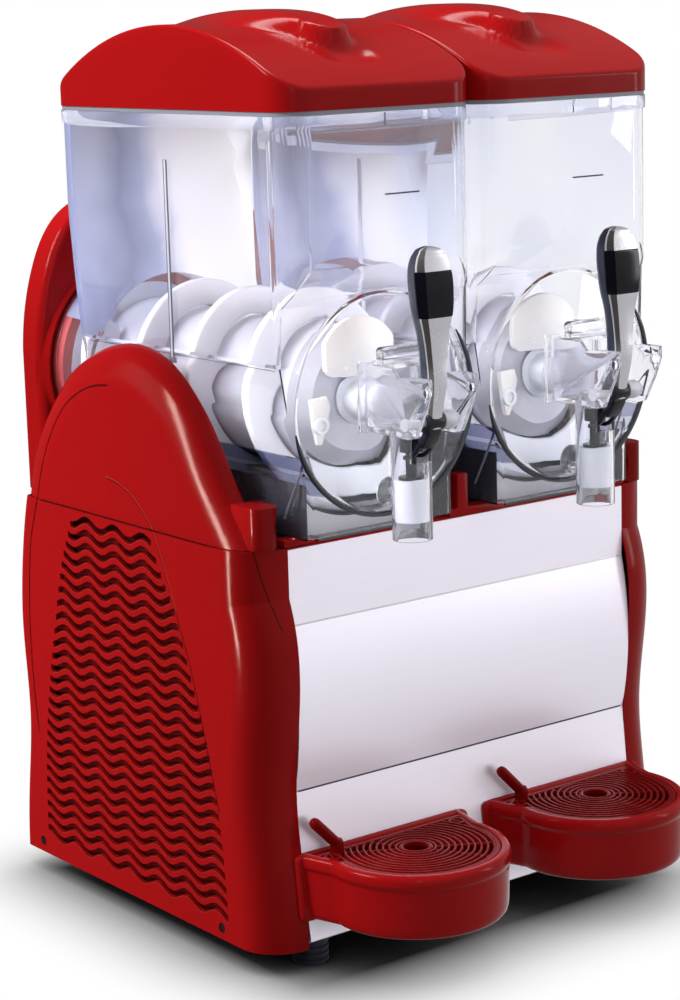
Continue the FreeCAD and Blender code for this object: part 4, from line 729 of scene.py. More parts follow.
# x from and to, z from and to, y from and to, corner; the rib's bars also have a material number
RIB_BARS = [((-108.9, -107.7, 556, 738, 11.6, 16.0, 0.4), 1), ((-109.2, -107.9, 555, 738.6, 11.4, 12.3, 0.4), 0),
            ((-109.2, -107.9, 555, 738.6, 15.4, 16.3, 0.4), 0), ((-109.3, -107.7, 552, 557, 8.6, 18.6, 0.6), 0)]
FILL_LINE = (-1, 38, 707.4, 708.8, -172.35, -171.9, 0.3)
DRUM_ROOM, CRADLE_LOW, APRON_HALF, APRON_YS = 104.5, 404.3, 79.5, (-116.8, -116.2)
SHADE_SHEET_OUTER, SHADE_SHEET_INNER, SHADE_SHEET_YS, APRON_ROOM = 81.2, 80.4, (-150.0, 60.0), 0.6
LEDGE_X, LEDGE_Z, LEDGE_YS = 107.7, 560.0, (-146, 158)
ROD_FOOT, ROD_HEAD = (92, -131, 424), (80, -152, 482)


def under_drum(x):
    """Height of the drum's underside, with room to slide, at a distance from its middle."""
    return AXIS_Z - math.sqrt(DRUM_ROOM ** 2 - x ** 2)


def apron_rings():
    """A thin upright sheet in front of the cradle, whose upper edge follows the drum."""
    rings, (front, back) = [], APRON_YS
    for x in np.linspace(-APRON_HALF, APRON_HALF, 40):
        top = under_drum(x) - APRON_ROOM
        rings.append([(x, front, CRADLE_LOW), (x, front, top), (x, back, top), (x, back, CRADLE_LOW)])
    return np.array(rings)


def shade_sheet_box(hand):
    """An upright sheet of painted shade inside the skirt's side wall."""
    outer, inner, top = hand * SHADE_SHEET_OUTER, hand * SHADE_SHEET_INNER, under_drum(SHADE_SHEET_OUTER) - 1
    return slab(np.array([(outer, CRADLE_LOW), (outer, top), (inner, top), (inner, CRADLE_LOW)]), SHADE_SHEET_YS)


for side, sign in SIDES.items():
    x = sign * BOWL_X
    rib = Build(x)
    for sizes, paint in RIB_BARS:
        rib.tube(bar(*sizes), paint)
    rib.piece(f"{side}_bowl_rib", f"{side}_bowl_set", "clear_bowl", RIB_PAIR[side])
    line = Build(x).tube(bar(*FILL_LINE))
    line.piece(f"{side}_fill_line", f"{side}_bowl_set", "black_plastic", [INK])
    crease, rods, shade_sheets = Build(x), Build(x), Build(x)
    for hand in (-1, 1):
        ends = [(hand * LEDGE_X, y, LEDGE_Z) for y in LEDGE_YS]
        crease.tube(capsule_rings(*ends, [(0, 0.35), (1, 0.35)], 6))
        ends = [(hand * across, y, z) for across, y, z in (ROD_HEAD, ROD_FOOT)]
        rods.tube(capsule_rings(*ends, [(0, 1.3), (1, 1.1)], 12))
        shade_sheets.tube(shade_sheet_box(hand))
    # A grey line of painted shade along each crease of the hopper.
    crease.piece(f"{side}_bowl_crease", f"{side}_bowl_set", "clear_bowl", [CREASE_PAINTED_SHADE])
    # A dark bead of painted reflection round the drum's lower front edge.
    bead = Build(x).tube(bead_rings(radius=101.8, y=-163.6, start=34, end=-170, half=2.6))
    bead.piece(f"{side}_drum_bead", f"{side}_bowl_set", "dark_rubber", [PAINTED_REFLECTION_BEAD])
    rods.piece(f"{side}_skirt_rods", f"{side}_bowl_set", "clear_bowl", [RIB_EDGE])
    shade_sheets.piece(f"{side}_deck_shade_sheets", "machine", "black_plastic", [SHADE_SHEET_NAVY])
    apron = Build(x).tube(apron_rings())
    apron.piece(f"{side}_deck_apron", "machine", "white_plastic", [APRON])
print("bowl details done")

# %% [markdown]
# ## Levers
# A lever is a slim grip with a flat silver front, two bevels whose brown-grey is painted reflection, a white line
# of painted highlight between each bevel and the back, and a rounded dark back. A plain black band goes round its
# widest part. Every level ring of it has the same points, so a short table of stations, joined by smooth curves,
# gives the whole grip.

# %% Levers
# Painted reflection and highlight: the bevels' brown-grey and the white line stand for what the chrome grip
# reflects.
LEVER_FINISHES = [
    moulded("lever_front_silver", (0.66, 0.65, 0.7), 0.22, 0.3, Metallic=0.55),
    moulded("lever_bevel_painted_reflection", (0.13, 0.118, 0.115), 0.25, 0.35, Metallic=0.4),
    moulded("lever_lip_painted_highlight", (0.8, 0.79, 0.82), 0.2, 0.3),
    moulded("lever_back_slate", (0.03, 0.036, 0.062), 0.15, 0.22),
    moulded("lever_band_black", (0.006, 0.006, 0.011), 0.1, 0.16, Specular_IOR_Level=0.18),
    moulded("lever_fork_black", (0.01, 0.011, 0.018), 0.25, 0.35, Specular_IOR_Level=0.25),
]
# height, half width of the front, half width at the bevel's end, then y of front, bevel's end and back
GRIP = [(506, 4.5, 7, -236, -232, -222), (518, 5.5, 8.5, -237, -233, -221), (545, 7, 10, -242, -237, -226),
        (570, 8.5, 12, -242, -237.5, -227), (592, 11, 15, -242.5, -237, -226), (605, 13.5, 18, -243.5, -237, -224),
        (625, 15, 20, -243.5, -236.5, -221.5), (640, 15, 20, -242.5, -235, -220.5),
        (652, 13.5, 18, -240, -233, -221), (660, 10.5, 13.5, -237.5, -231.5, -223),
        (664.5, 6, 8, -234.5, -230.5, -226), (666, 1.5, 2, -231, -230, -228.5)]
FRONT_STEPS, BEVEL_SHARES, BACK_STEPS = 8, (0.4, 0.8, 1.0), 16
PIN_Y, PIN_Z, BACK_DEEPER, CROWN = -228.0, 512.0, 4.0, 0.5


def grip_rows(heights):
    """The grip's measures at these heights, each as a column, and the run of its crowned front."""
    front_half, half, front, bevel, back = smooth_table(GRIP, heights)[:, 1:].T[..., None]
    across = np.linspace(-1, 1, FRONT_STEPS + 1)[None]
    return front_half, half, front, bevel, back, across, front - CROWN + CROWN * across ** 2


def grip_rings(heights):
    """Level rings: crowned front, two bevels and a boxy round back (x ~ cos^0.5, y ~ sin^0.6)."""
    front_half, half, front, bevel, back, across, crown = grip_rows(heights)
    share = np.array(BEVEL_SHARES)[None]
    turn = np.linspace(0, math.pi, BACK_STEPS + 1)[None, 1:-1]
    swing = np.sign(np.cos(turn)) * np.abs(np.cos(turn)) ** 0.5
    depth = (back + BACK_DEEPER - bevel) * np.sin(turn) ** 0.6
    x = np.concatenate([front_half * across, front_half + (half - front_half) * share, half * swing,
                        -(front_half + (half - front_half) * share[:, ::-1])], axis=1)
    y = np.concatenate([crown, front + (bevel - front) * share, bevel + depth,
                        front + (bevel - front) * share[:, ::-1]], axis=1)
    return joined(x, y, heights[:, None])


def band_rings():
    """The black band: the grip's front and bevels, half a millimetre proud, with rounded ends."""
    heights = np.array([604.6, 604.9, 605.6, 607, *np.linspace(610, 640, 9), 643, 644.4, 645.1, 645.4])
    proud = np.array([-0.4, 0.1, 0.5, 0.65, *([0.7] * 9), 0.65, 0.5, 0.1, -0.4])[:, None]
    front_half, half, _, bevel, _, across, crown = grip_rows(heights)
    x = np.concatenate([front_half * across, half + proud, half + proud, half - 3, 3 - half, -half - proud,
                        -half - proud], axis=1)
    y = np.concatenate([crown - proud, bevel - proud * 0.3, bevel + 1.2, bevel + 2, bevel + 2, bevel + 1.2,
                        bevel - proud * 0.3], axis=1)
    return joined(x, y, heights[:, None])


HEIGHTS = np.concatenate([np.linspace(506, 655, 76), np.linspace(656.5, 666, 12)])
RING_PAINT = [0] * FRONT_STEPS + [1, 1, 2] + [3] * BACK_STEPS + [2, 1, 1]
HUB = [(-9.4, 5.0), (-9.4, 8.2), (-8.6, 9.4), (-7, 9.8), (7, 9.8), (8.6, 9.4), (9.4, 8.2), (9.4, 5.0)]
FORK_PATH = [(-231.5, 511.0), (-229.5, 503.0), (-225.0, 495.5), (-220.5, 490.2)]
PRONG_PATH = [(-222.0, 491.5), (-219.0, 488.0), (-215.0, 483.3), (-210.5, 479.6), (-205.0, 477.6), (-199.5, 477.4)]


def make_lever(side):
    """Grip, band, hub round the pin, and the black fork under the piston's head."""
    shape = Build(SIDES[side] * BOWL_X).tube(grip_rings(HEIGHTS), np.tile(RING_PAINT, len(HEIGHTS) - 1))
    shape.tube(band_rings(), 4)
    shape.grid(turned_rings(HUB, (0, PIN_Y, PIN_Z), "x"), wrap_rows=True, wrap_columns=True, paint=5)
    shape.tube(bar_rings(FORK_PATH, half_across=7.6, half_thick=4.2, corner=1.6), 5)
    for prong in (-7.6, 7.6):
        shape.tube(bar_rings(PRONG_PATH, half_across=1.9, half_thick=2.0, corner=0.9, x=prong), 5)
    return shape.piece(f"{side}_lever_grip", f"{side}_lever", "lever_chrome", LEVER_FINISHES,
                       [f"{side}_tap_lever"], crease=math.radians(24))


both_sides(make_lever)

# %% [markdown]
# ## Auger fronts
# Ahead of the ribbon sits a cream plate, D-shaped like a paddle, that sweeps the slush to the outlet. A round white
# nose covers the end of the shaft.

# %% Auger fronts
CREAM = moulded("auger_cream", (0.74, 0.71, 0.7), 0.35, 0.45, Subsurface_Weight=0.1)
ARM = np.array([(-58, 4), (-40, 6), (-36, -4), (-42, -24), (-47, -38), (-51, -38), (-55, -22)], float)
ARM_RING = [(-130.5, 5.0), (-130.5, 8.0), (-127, 8.6), (-124, 8.6), (-124, 5.0)]
FRONT_HUB = [(-144, 9.2), (-144, 15.5), (-142.6, 17.6), (-140, 18.4), (-124, 18.8), (-121, 24), (-119.5, 24),
             (-119.5, 9.2)]
NOSE = [(-144.3, 17.4), (-149, 17.4), (-153, 16.6), (-156.5, 14.2), (-158.4, 10.5), (-159, 6)]


def plate_rings(outline, low, high, ease):
    """A flat plate: its outline drawn in by ease at both faces, so that its edges are rounded."""
    middle = outline.mean(axis=0)
    size = np.linalg.norm(outline - middle, axis=1, keepdims=True)
    rings = []
    for y, inset in ((low, ease), (low + 0.3 * ease, 0.3 * ease), (low + ease, 0.0), (high - ease, 0.0),
                     (high - 0.3 * ease, 0.3 * ease), (high, ease)):
        ring = middle + (outline - middle) * (1 - inset / size)
        rings.append(joined(ring[:, 0], y, ring[:, 1] + AXIS_Z))
    return np.array(rings)


def paddle_outline(half=40.0, low=22.0, high=76.0, corner=9.0, shoulder=12.0, opening=28):
    """A D lying on its back: a straight lower edge and a round top, in (across, up) points."""
    reach = np.array([half / math.cos(math.radians(opening)), high - low - shoulder])
    top = (0, low + shoulder) + reach * arc(opening, 180 - opening, 31)
    feet = [arc(start, start + 90, 6, corner, (hand * (half - corner), low + corner))
            for start, hand in ((180, -1), (270, 1))]
    return np.concatenate([top, *feet])


def make_auger_front(side):
    """Cream paddle and arm, white hub and nose."""
    x = SIDES[side] * BOWL_X
    shape = Build(x).tube(plate_rings(paddle_outline(), low=-128.0, high=-121.0, ease=1.4), 1)
    shape.tube(plate_rings(ARM, low=-128.0, high=-121.5, ease=1.2), 1)
    for profile, middle, steps in ((ARM_RING, (-48, 0, AXIS_Z - 20), 28), (FRONT_HUB, (0, 0, AXIS_Z), 56)):
        shape.grid(turned_rings(profile, middle, "y", steps), wrap_rows=True, wrap_columns=True)
    shape.piece(f"{side}_auger_front", f"{side}_auger_set", "white_plastic", [FINISHES["white_plastic"], CREAM])
    cap = Build(x).tube(turned_rings(NOSE, (0, 0, AXIS_Z), "y", 56))
    cap.piece(f"{side}_nose_cap", f"{side}_auger_set", "white_plastic", stands_for=[f"{side}_auger_nose"])


for side in SIDES:
    make_auger_front(side)

# %% [markdown]
# ## Louvre blades
# Behind each wavy slot the real cover has a second wave, so that the slot reads as a row of dark lenses. The blades
# and a sheet behind them all are in darker reds than the cover, as painted shade inside the slots; the sheet also
# stops the eye seeing through.

# %% Louvre blades and screens
ROWS, FIRST_ROW, ROW_PITCH, WAVE, CREST = 27, 373.0, 13.0, 50.0, 131.0
COVER_X, SCREEN_X, SCREEN_THICK = 252.0, 240.0, 1.5
TOP_SPAN, LOW_SPAN = np.array([16.0, 160.0]), np.array([-88.0, 234.0])
BLADE_SECTION = np.array([(248.2, 1.7), (248.2, -1.7), (245.0, -2.6), (245.0, 1.0)])
COVER_FRONT = [(34.0, -109.0), (105.0, -110.0), (170.0, -112.0), (255.0, -103.0), (352.0, -114.0), (392.0, -114.0)]
COVER_REAR = [(34.0, 276.0), (88.0, 270.0), (170.0, 260.0), (262.0, 264.0), (335.0, 255.0), (392.0, 234.0)]
# Painted shade: the blades and the sheet behind them are darker reds than the cover, for the shade inside the
# slots.
DARK_RED = moulded("louvre_dark_red", (0.26, 0.005, 0.005), 0.4, 0.55, Specular_IOR_Level=0.2)
SHADE = moulded("louvre_screen", (0.2, 0.006, 0.006), 0.6, 0.7, Specular_IOR_Level=0.1)


def slot_span(row):
    """Front and rear end of a slot; the slots grow longer from row to row, the upper ones faster."""
    return TOP_SPAN + (LOW_SPAN - TOP_SPAN) * (1 - (1 - row / ROWS) ** 2)


def wave(y):
    """The waves of slots and blades: a cosine along y with a crest at CREST."""
    return np.cos(2 * math.pi * (y - CREST) / WAVE)


def blade_rings(row, sign, beyond=3, step=2.5):
    """One blade behind a slot: a thin strip along y that waves up and down."""
    front, rear = slot_span(row)
    front, rear = front - beyond, rear + beyond
    y = np.linspace(front, rear, int((rear - front) / step))[:, None]
    middle = FIRST_ROW - ROW_PITCH * row + 1.2 + 2.2 * wave(y)
    return joined(BLADE_SECTION[:, 0] * sign, y, middle + BLADE_SECTION[:, 1])


def screen_sheets(sign):
    """An upright sheet inside the cover, between its front and rear lines: outer face, inner face and rim."""
    height = np.linspace(COVER_FRONT[0][0], COVER_FRONT[-1][0], 40)
    front, rear = (np.interp(height, *np.array(line).T)[:, None] for line in (COVER_FRONT, COVER_REAR))
    share = np.linspace(0, 1, 30)
    outer = joined(SCREEN_X * sign, front * (1 - share) + rear * share, height[:, None])
    inwards = np.array([SCREEN_THICK * sign, 0, 0])
    return outer, outer - inwards, np.stack([border(outer), border(outer) - inwards])


for side, sign in SIDES.items():
    blades = Build()
    for row in range(ROWS):
        blades.tube(blade_rings(row, sign))
    blades.piece(f"{side}_louvre_blades", "machine", "red_gloss", [DARK_RED])
    outer, inner, rim = screen_sheets(sign)
    screen = Build().grid(outer).grid(inner).grid(rim, wrap_columns=True)
    screen.piece(f"{side}_louvre_screen", "machine", "red_gloss", [SHADE])
print("louvres:", ROWS, "blades a side")

# %% [markdown]
# ## Lines on the side covers
# Fine lines are draped over the covers: rays from outside find the surface, and a thin strip follows it. Painted
# shade runs above and below each slot, and a painted highlight below that, at row height + half opening + swing *
# wave.

# %% Draped lines, and painted shade and highlight along the slots
SLOT_SWING, SLOT_HALF, SKIN, SUNK, RAY_START, COVER_LEAST = 4.0, 2.7, 0.06, 0.5, 0.3, 0.2
# Dark red for the grooves and seams, and painted shade along the slots.
GROOVE_AND_SHADE_DARK = moulded("groove_and_painted_shade_red", (0.09, 0.002, 0.002), 0.4, 0.5, Specular_IOR_Level=0.1)
# Painted highlight: a light red strip beside the dark lines and along the slots.
PAINTED_HIGHLIGHT_RED = moulded("painted_highlight_red", (0.62, 0.07, 0.05), 0.3, 0.4, Specular_IOR_Level=0.2)
LIP_SHADE = moulded("lip_shade_red", (0.17, 0.003, 0.003), 0.3, 0.4, Specular_IOR_Level=0.1)
# Painted shade above and below each slot, and a painted highlight beneath, as bands from the slot's middle line.
SLOT_EDGE_PAINT = ((SLOT_HALF, SLOT_HALF + 0.7), (-SLOT_HALF - 1.3, -SLOT_HALF), (-SLOT_HALF - 1.6, -SLOT_HALF - 1.3))
REAR_LINE = [(242.0, 152), (246.5, 188), (249, 234), (248.2, 281), (244.3, 318), (237.5, 356), (224, 391),
             (212.5, 424.6), (203, 446), (190.6, 466.5), (174.6, 486.7), (156, 502.5), (138, 512.7), (120.4, 520),
             (103.3, 524.5), (78, 527.5)]
FRONT_LINE = [(-80.2, 146), (-72.5, 172.3), (-61.1, 214.7), (-41.5, 278), (-20.8, 327), (0.2, 373.7), (17, 402.3),
              (31.7, 416), (46.8, 426.1), (71.9, 435), (91.3, 437.7)]
POST_LINE = [(237.0, 397.4), (235.1, 388.9), (233.2, 378.7), (230.5, 367.6), (226.8, 355.3), (224.4, 344.6),
             (222.3, 333.9), (219.4, 324.8)]
SEAM_LINE = [(-86, 398), (-20, 398), (60, 398), (140, 398), (216, 398)]


def covers_tree(side):
    """A search tree over the two covers of one side."""
    points, faces = [], []
    for node in (f"{side}_louvre_panel", f"{side}_arch_cover"):
        mesh = frame["nodes"][node].data
        first = len(points)
        points += [vertex.co[:] for vertex in mesh.vertices]
        faces += [[first + corner for corner in polygon.vertices] for polygon in mesh.polygons]
    return BVHTree.FromPolygons(points, faces)


def strip_ring(low, high):
    """Four corners from two (outer, inner) pairs, in order round the strip."""
    return [low[0], high[0], high[1], low[1]]


def draped(tree, sign, path, low, high, step=3.0):
    """A thin strip over the covers, between two distances from a smooth path in (y, z)."""
    path = np.array(path, float)
    along = np.concatenate([[0], np.cumsum(np.linalg.norm(np.diff(path, axis=0), axis=1))])
    fine = np.arange(0, along[-1], step)
    line = smooth_table(np.column_stack([along, path]), fine)[:, 1:]
    run = np.gradient(line, axis=0)
    across = np.stack([-run[:, 1], run[:, 0]], axis=-1) / np.linalg.norm(run, axis=1, keepdims=True)
    rings, surface = [], COVER_X
    for place, way in zip(line, across):
        pairs = []
        for distance in (low, high):
            y, z = place + way * distance
            hit = tree.ray_cast(Vector((sign * RAY_START, y * MM, z * MM)), Vector((-sign, 0, 0)))[0]
            if hit is not None and abs(hit.x) > COVER_LEAST:
                surface = abs(hit.x) / MM
            pairs.append([(sign * (surface + SKIN), y, z), (sign * (surface - SUNK), y, z)])
        rings.append(strip_ring(*pairs))
    return np.array(rings)


def front_draped(tree, sign, path, half, steps=40):
    """A thin strip over the front of the covers along a smooth path in (x, z); rays from the front find them."""
    places = np.linspace(0, len(path) - 1, steps)
    line = smooth_table(np.column_stack([np.arange(len(path)), path]), places)[:, 1:]
    rings = []
    for x, z in line:
        pairs = []
        for edge in (sign * (x - half), sign * (x + half)):
            y = tree.ray_cast(Vector((edge * MM, -RAY_START, z * MM)), Vector((0, 1, 0)))[0].y / MM
            pairs.append([(edge, y - SKIN, z), (edge, y + SUNK, z)])
        rings.append(strip_ring(*pairs))
    return np.array(rings)


def lip_rings(row, sign, low, high):
    """A strip along a slot, between two heights from the slot's middle line."""
    y = np.arange(*slot_span(row), 3.0)[:, None]
    middle = FIRST_ROW + ROW_PITCH - ROW_PITCH * row + SLOT_SWING * wave(y)
    outer, inner = sign * (COVER_X + SKIN), sign * (COVER_X - SUNK)
    return joined((outer, outer, inner, inner), y, middle + (low, high, high, low))


for side, sign in SIDES.items():
    tree = covers_tree(side)
    lines = Build().tube(draped(tree, sign, REAR_LINE, -0.9, 0.9), 0)
    # Painted highlight: a light strip beside the upper part of the front line.
    lines.tube(draped(tree, sign, FRONT_LINE, -0.6, 0.6), 0).tube(draped(tree, sign, FRONT_LINE[4:], 0.7, 1.3), 1)
    lines.tube(draped(tree, sign, SEAM_LINE, -0.9, 0.9), 0).tube(front_draped(tree, sign, POST_LINE, 0.6), 0)
    lines.piece(f"{side}_cover_lines", "machine", "red_gloss", [GROOVE_AND_SHADE_DARK, PAINTED_HIGHLIGHT_RED])
    # Painted shade and a painted highlight along every slot.
    lips = Build()
    for row in range(ROWS):
        for paint, (low, high) in enumerate(SLOT_EDGE_PAINT):
            lips.tube(lip_rings(row, sign, low, high), paint)
    lips.piece(f"{side}_slot_edge_painted_light", "machine", "red_gloss", [GROOVE_AND_SHADE_DARK, LIP_SHADE, PAINTED_HIGHLIGHT_RED])
print("cover lines done")

# %% [markdown]
# ## Lines on the steel
# The bulged sheet has a painted highlight along its upper crease, and a dark joint where it meets the lower sheet.

# %% Painted crease highlight and joint
# Painted highlight: a bright strip along the crease of the bulged steel.
CREASE_HIGHLIGHT_PAINT = moulded("crease_painted_highlight_bright", (0.93, 0.93, 0.98), 0.2, 0.3, Metallic=0.2)
JOINT = moulded("joint_navy", (0.03, 0.035, 0.08), 0.4, 0.5)
CREASE_Y, CREASE_Z, JOINT_Z, SHEET_HALF = -136.4, 325.6, 170.0, 203.0
edge = Build().tube(turned_rings([(-SHEET_HALF, 1.0), (SHEET_HALF, 1.0)], (0, CREASE_Y, CREASE_Z), "x", 12))
edge.piece("front_crease_painted_highlight", "machine", "brushed_steel", [CREASE_HIGHLIGHT_PAINT])
joint = Build().tube(bar(-SHEET_HALF, SHEET_HALF, JOINT_Z - 0.8, JOINT_Z + 0.8, -137.2, -136.2, 0.3))
joint.piece("front_joint_line", "machine", "black_plastic", [JOINT])
print("steel lines done")

# %% [markdown]
# ## Drip trays
# A tray is D-shaped: straight at the back, where it hangs on the leaning steel, and round in front. The same D,
# drawn in by different amounts at different heights, gives its whole skin.

# %% Drip trays
TRAY_MIDDLE, TRAY_ROUND, TRAY_BACK, TRAY_FLANK = -195.0, 88.0, 98.0, math.radians(8)
STEEL_TOP_Y, STEEL_TOP, STEEL_LOW, STEEL_LEAN = -137.3, 170.0, 20.0, 17.0
BACK_FREE, BACK_SLOPE = 24, 0.9


def steel_y(z):
    """Where the leaning steel stands at height z."""
    return STEEL_TOP_Y - STEEL_LEAN * np.clip((STEEL_TOP - z) / (STEEL_TOP - STEEL_LOW), 0, 1)


def d_outline(inset, back):
    """Flank, round front, flank and back line of the D, in (x, y) points."""
    radius, half = TRAY_ROUND - inset, TRAY_BACK - inset
    turn = np.linspace(TRAY_FLANK, -math.pi - TRAY_FLANK, 81)
    round_x, round_y = radius * np.cos(turn), TRAY_MIDDLE + radius * np.sin(turn)
    share = np.linspace(0, 1, 9)[:-1]
    flank_x = half + (round_x[0] - half) * share
    flank_y = back + (round_y[0] - back) * share
    line = np.linspace(-half, half, 17)[1:-1]
    x = np.concatenate([flank_x, round_x, -flank_x[::-1], line])
    y = np.concatenate([flank_y, round_y, flank_y[::-1], np.full(len(line), back)])
    return x, y


def d_ring(inset, z, back_gap=0.0):
    """The D at one height; its back stays back_gap before the steel, and more where it is drawn in far."""
    return joined(*d_outline(inset, steel_y(z) - back_gap - max(0.0, inset - BACK_FREE) * BACK_SLOPE), z)


TRAY_OUTSIDE = [(70, 52), (30, 52), (9, 52), (6, 52.7), (4.4, 54.4), (3.5, 57.5), (3, 62), (2.5, 80), (2.1, 97),
                (1.9, 99.6), (0.7, 100.8), (0.1, 102.6), (0, 105), (0.3, 108), (1.3, 110.6), (3, 112.2), (5, 112.9),
                (7.6, 112.9), (8.9, 112.2), (9.3, 110.5)]
TRAY_INSIDE = [(9.4, 106), (9.8, 82), (10.5, 66), (13, 60), (20, 57), (34, 56), (70, 56)]
FLANGE_HALF, FLANGE_LOW, FLANGE_HIGH, FLANGE_THICK = 102.5, 50.5, 112.5, 5.0


def flange_rings():
    """The back flange: a rounded rectangle that leans with the steel."""
    half = np.array([FLANGE_HALF, (FLANGE_HIGH - FLANGE_LOW) / 2])
    loop = round_box(*half, 6, 5)
    rings = []
    for depth, inset in ((FLANGE_THICK, 2.2), (FLANGE_THICK - 0.6, 0.9), (FLANGE_THICK - 2.0, 0.0), (0.2, 0.0)):
        x, up = (loop * (1 - inset / half)).T
        z = up + (FLANGE_HIGH + FLANGE_LOW) / 2
        rings.append(joined(x, steel_y(z) - depth, z))
    return np.array(rings)


def make_tray(side):
    """Cup and flange."""
    rings = [d_ring(inset, z) for inset, z in TRAY_OUTSIDE] + [d_ring(inset, z, 8.0) for inset, z in TRAY_INSIDE]
    shape = Build(SIDES[side] * TRAY_X).tube(rings).tube(flange_rings())
    return shape.piece(f"{side}_tray_cup", f"{side}_tray", "red_gloss", stands_for=[f"{side}_drip_tray"],
                       crease=math.radians(50))


# %% Drip grilles
GRILLE_TOP, GRILLE_LOW, GRILLE_INSET, GRILLE_BACK = 111.6, 107.6, 9.9, -158.0
RIB_FIRST, RIB_PITCH, RIB_HALF, RIB_LAST = 18.5, 6.0, 1.35, 76.0
GRILLE_RED = moulded("grille_red", (0.25, 0.004, 0.004), 0.2, 0.3, Specular_IOR_Level=0.04)


def arched(half, shoulder, crown, peak=()):
    """A rib's section: its left half, the peak if it has one, and the left half mirrored."""
    left = np.array([(-half, GRILLE_LOW), (-half, GRILLE_TOP - shoulder), (-half * 0.6, GRILLE_TOP - crown)])
    return np.concatenate([left, np.reshape(peak, (-1, 2)), (left * (-1, 1))[::-1]])


def rib_rings(radius, start=0.0, end=2 * math.pi, centre=(0.0, TRAY_MIDDLE), half=RIB_HALF, lift=0.0):
    """A rib bent to an arc: a small arch-topped section turned about a middle; a full turn leaves out its end."""
    section = arched(half, 0.9, 0.15, (0, GRILLE_TOP))
    turn = np.linspace(start, end, max(6, int(abs(end - start) * radius / 3.0)))[:, None]
    reach = radius + section[None, :, 0]
    rings = joined(centre[0] + reach * np.cos(turn), centre[1] + reach * np.sin(turn), section[None, :, 1] + lift)
    return rings[:-1] if end - start == 2 * math.pi else rings


def spoke_rings(turn, start, end, half=1.1):
    """A straight rib along a radius, lower than the round ribs."""
    section = arched(half, 1.9, 1.3)
    reach = np.array([start, end])[:, None]
    x = reach * math.cos(turn) - section[None, :, 0] * math.sin(turn)
    y = TRAY_MIDDLE + reach * math.sin(turn) + section[None, :, 0] * math.cos(turn)
    return joined(x, y, section[None, :, 1])


def border_grid():
    """The frame round the grille: a small section carried round the D."""
    section = [(0, GRILLE_LOW), (0, GRILLE_TOP - 1), (0.5, GRILLE_TOP - 0.2), (1.2, GRILLE_TOP), (3.6, GRILLE_TOP),
               (4.3, GRILLE_TOP - 0.2), (4.8, GRILLE_TOP - 1), (4.8, GRILLE_LOW)]
    back = steel_y(GRILLE_TOP) - 8.4
    return np.array([joined(*d_outline(GRILLE_INSET + inset, back - inset), z) for inset, z in section])


MIDDLE_RING = dict(radius=13.8, half=2.0, lift=0.3)
SMALL_RINGS = [dict(radius=7.0, centre=(across, -165.5), half=1.6, lift=0.4) for across in (-74.0, 74.0)]
PEG = ((-62, -156.5, GRILLE_LOW), (-62, -156.5, 124)), [(0, 6.6), (0.55, 6.4), (0.8, 6.0), (0.95, 4.8), (1.0, 2.5)]
STEM = ((-62.5, -156.5, 119), (-88, -153.5, 146)), [(0, 5.0), (0.1, 5.3), (0.82, 5.4), (0.9, 5.1), (0.96, 4.0),
                                                    (0.99, 2.4), (1.0, 0.8)]
CORNER_RIBS, CORNER_X, SPOKES, SPOKE_START, SPOKE_END = (80.0, 86.0), 83.5, 12, 14.0, 74.0


def make_grille(side):
    """Ribs, spokes, frame, two small rings, and the peg: a stub with a leaning stem."""
    shape = Build(SIDES[side] * TRAY_X).grid(border_grid(), wrap_rows=True, wrap_columns=True)
    room = GRILLE_BACK - TRAY_MIDDLE
    for radius in np.arange(RIB_FIRST, RIB_LAST, RIB_PITCH):
        if radius < room:
            shape.tube(rib_rings(radius), closed=True)
        else:
            edge = math.asin(room / radius)
            shape.tube(rib_rings(radius, edge, -math.pi - edge))
    for radius in CORNER_RIBS:
        low, high = math.acos(min(1.0, CORNER_X / radius)), math.asin(room / radius)
        for start, end in ((low, high), (math.pi - high, math.pi - low)):
            shape.tube(rib_rings(radius, start, end))
    for step in range(SPOKES):
        turn = math.radians(360 / SPOKES * step)
        reach = SPOKE_END if math.sin(turn) <= 0.4 else room / math.sin(turn)
        shape.tube(spoke_rings(turn, SPOKE_START, reach))
    for ring in (MIDDLE_RING, *SMALL_RINGS):
        shape.tube(rib_rings(**ring), closed=True)
    for ends, profile in (PEG, STEM):
        shape.tube(capsule_rings(*ends, profile))
    return shape.piece(f"{side}_grille_ribs", f"{side}_grille", "red_gloss", [GRILLE_RED],
                       [f"{side}_drip_grille"])


for side in SIDES:
    cup, ribs = make_tray(side), make_grille(side)
    print(cup.name, len(cup.data.polygons), "faces,", ribs.name, len(ribs.data.polygons), "faces")

# %% [markdown]
# ## Camera
# The camera stands where the photograph was taken: to the left of the front, a little above the middle, turned a
# degree and a half about its own line of sight.

# %% Camera
EYE = (-1.4563, -1.8618, 0.8771)
AXES = ((0.7925, -0.6093, -0.0275), (0.1438, 0.1428, 0.9793), (0.5927, 0.780, -0.2007))
right, up, forward = (Vector(axis).normalized() for axis in AXES)
lens = bpy.data.cameras.new("camera")
lens.sensor_width = 36.0
lens.lens = 87.97
lens.clip_start, lens.clip_end = 0.05, 50.0
camera = placed("camera", lens)
turned = Matrix((right, up, -forward)).transposed().to_4x4()
camera.matrix_world = Matrix.Translation(EYE) @ turned
bpy.context.scene.camera = camera
print("camera at", tuple(round(value, 3) for value in camera.location))

# %% [markdown]
# ## Stage and light
# A white studio. The floor is plain white a little beyond the machine and darkens softly where pieces stand near
# it. The eye and the clear plastic see white all round; glossy pieces see a white card to the front right and dark
# elsewhere, which gives them their depth. The lamps are large and soft. Light linking keeps some of them off the
# red covers, and others to one kind of piece, as a photographer's flags do.

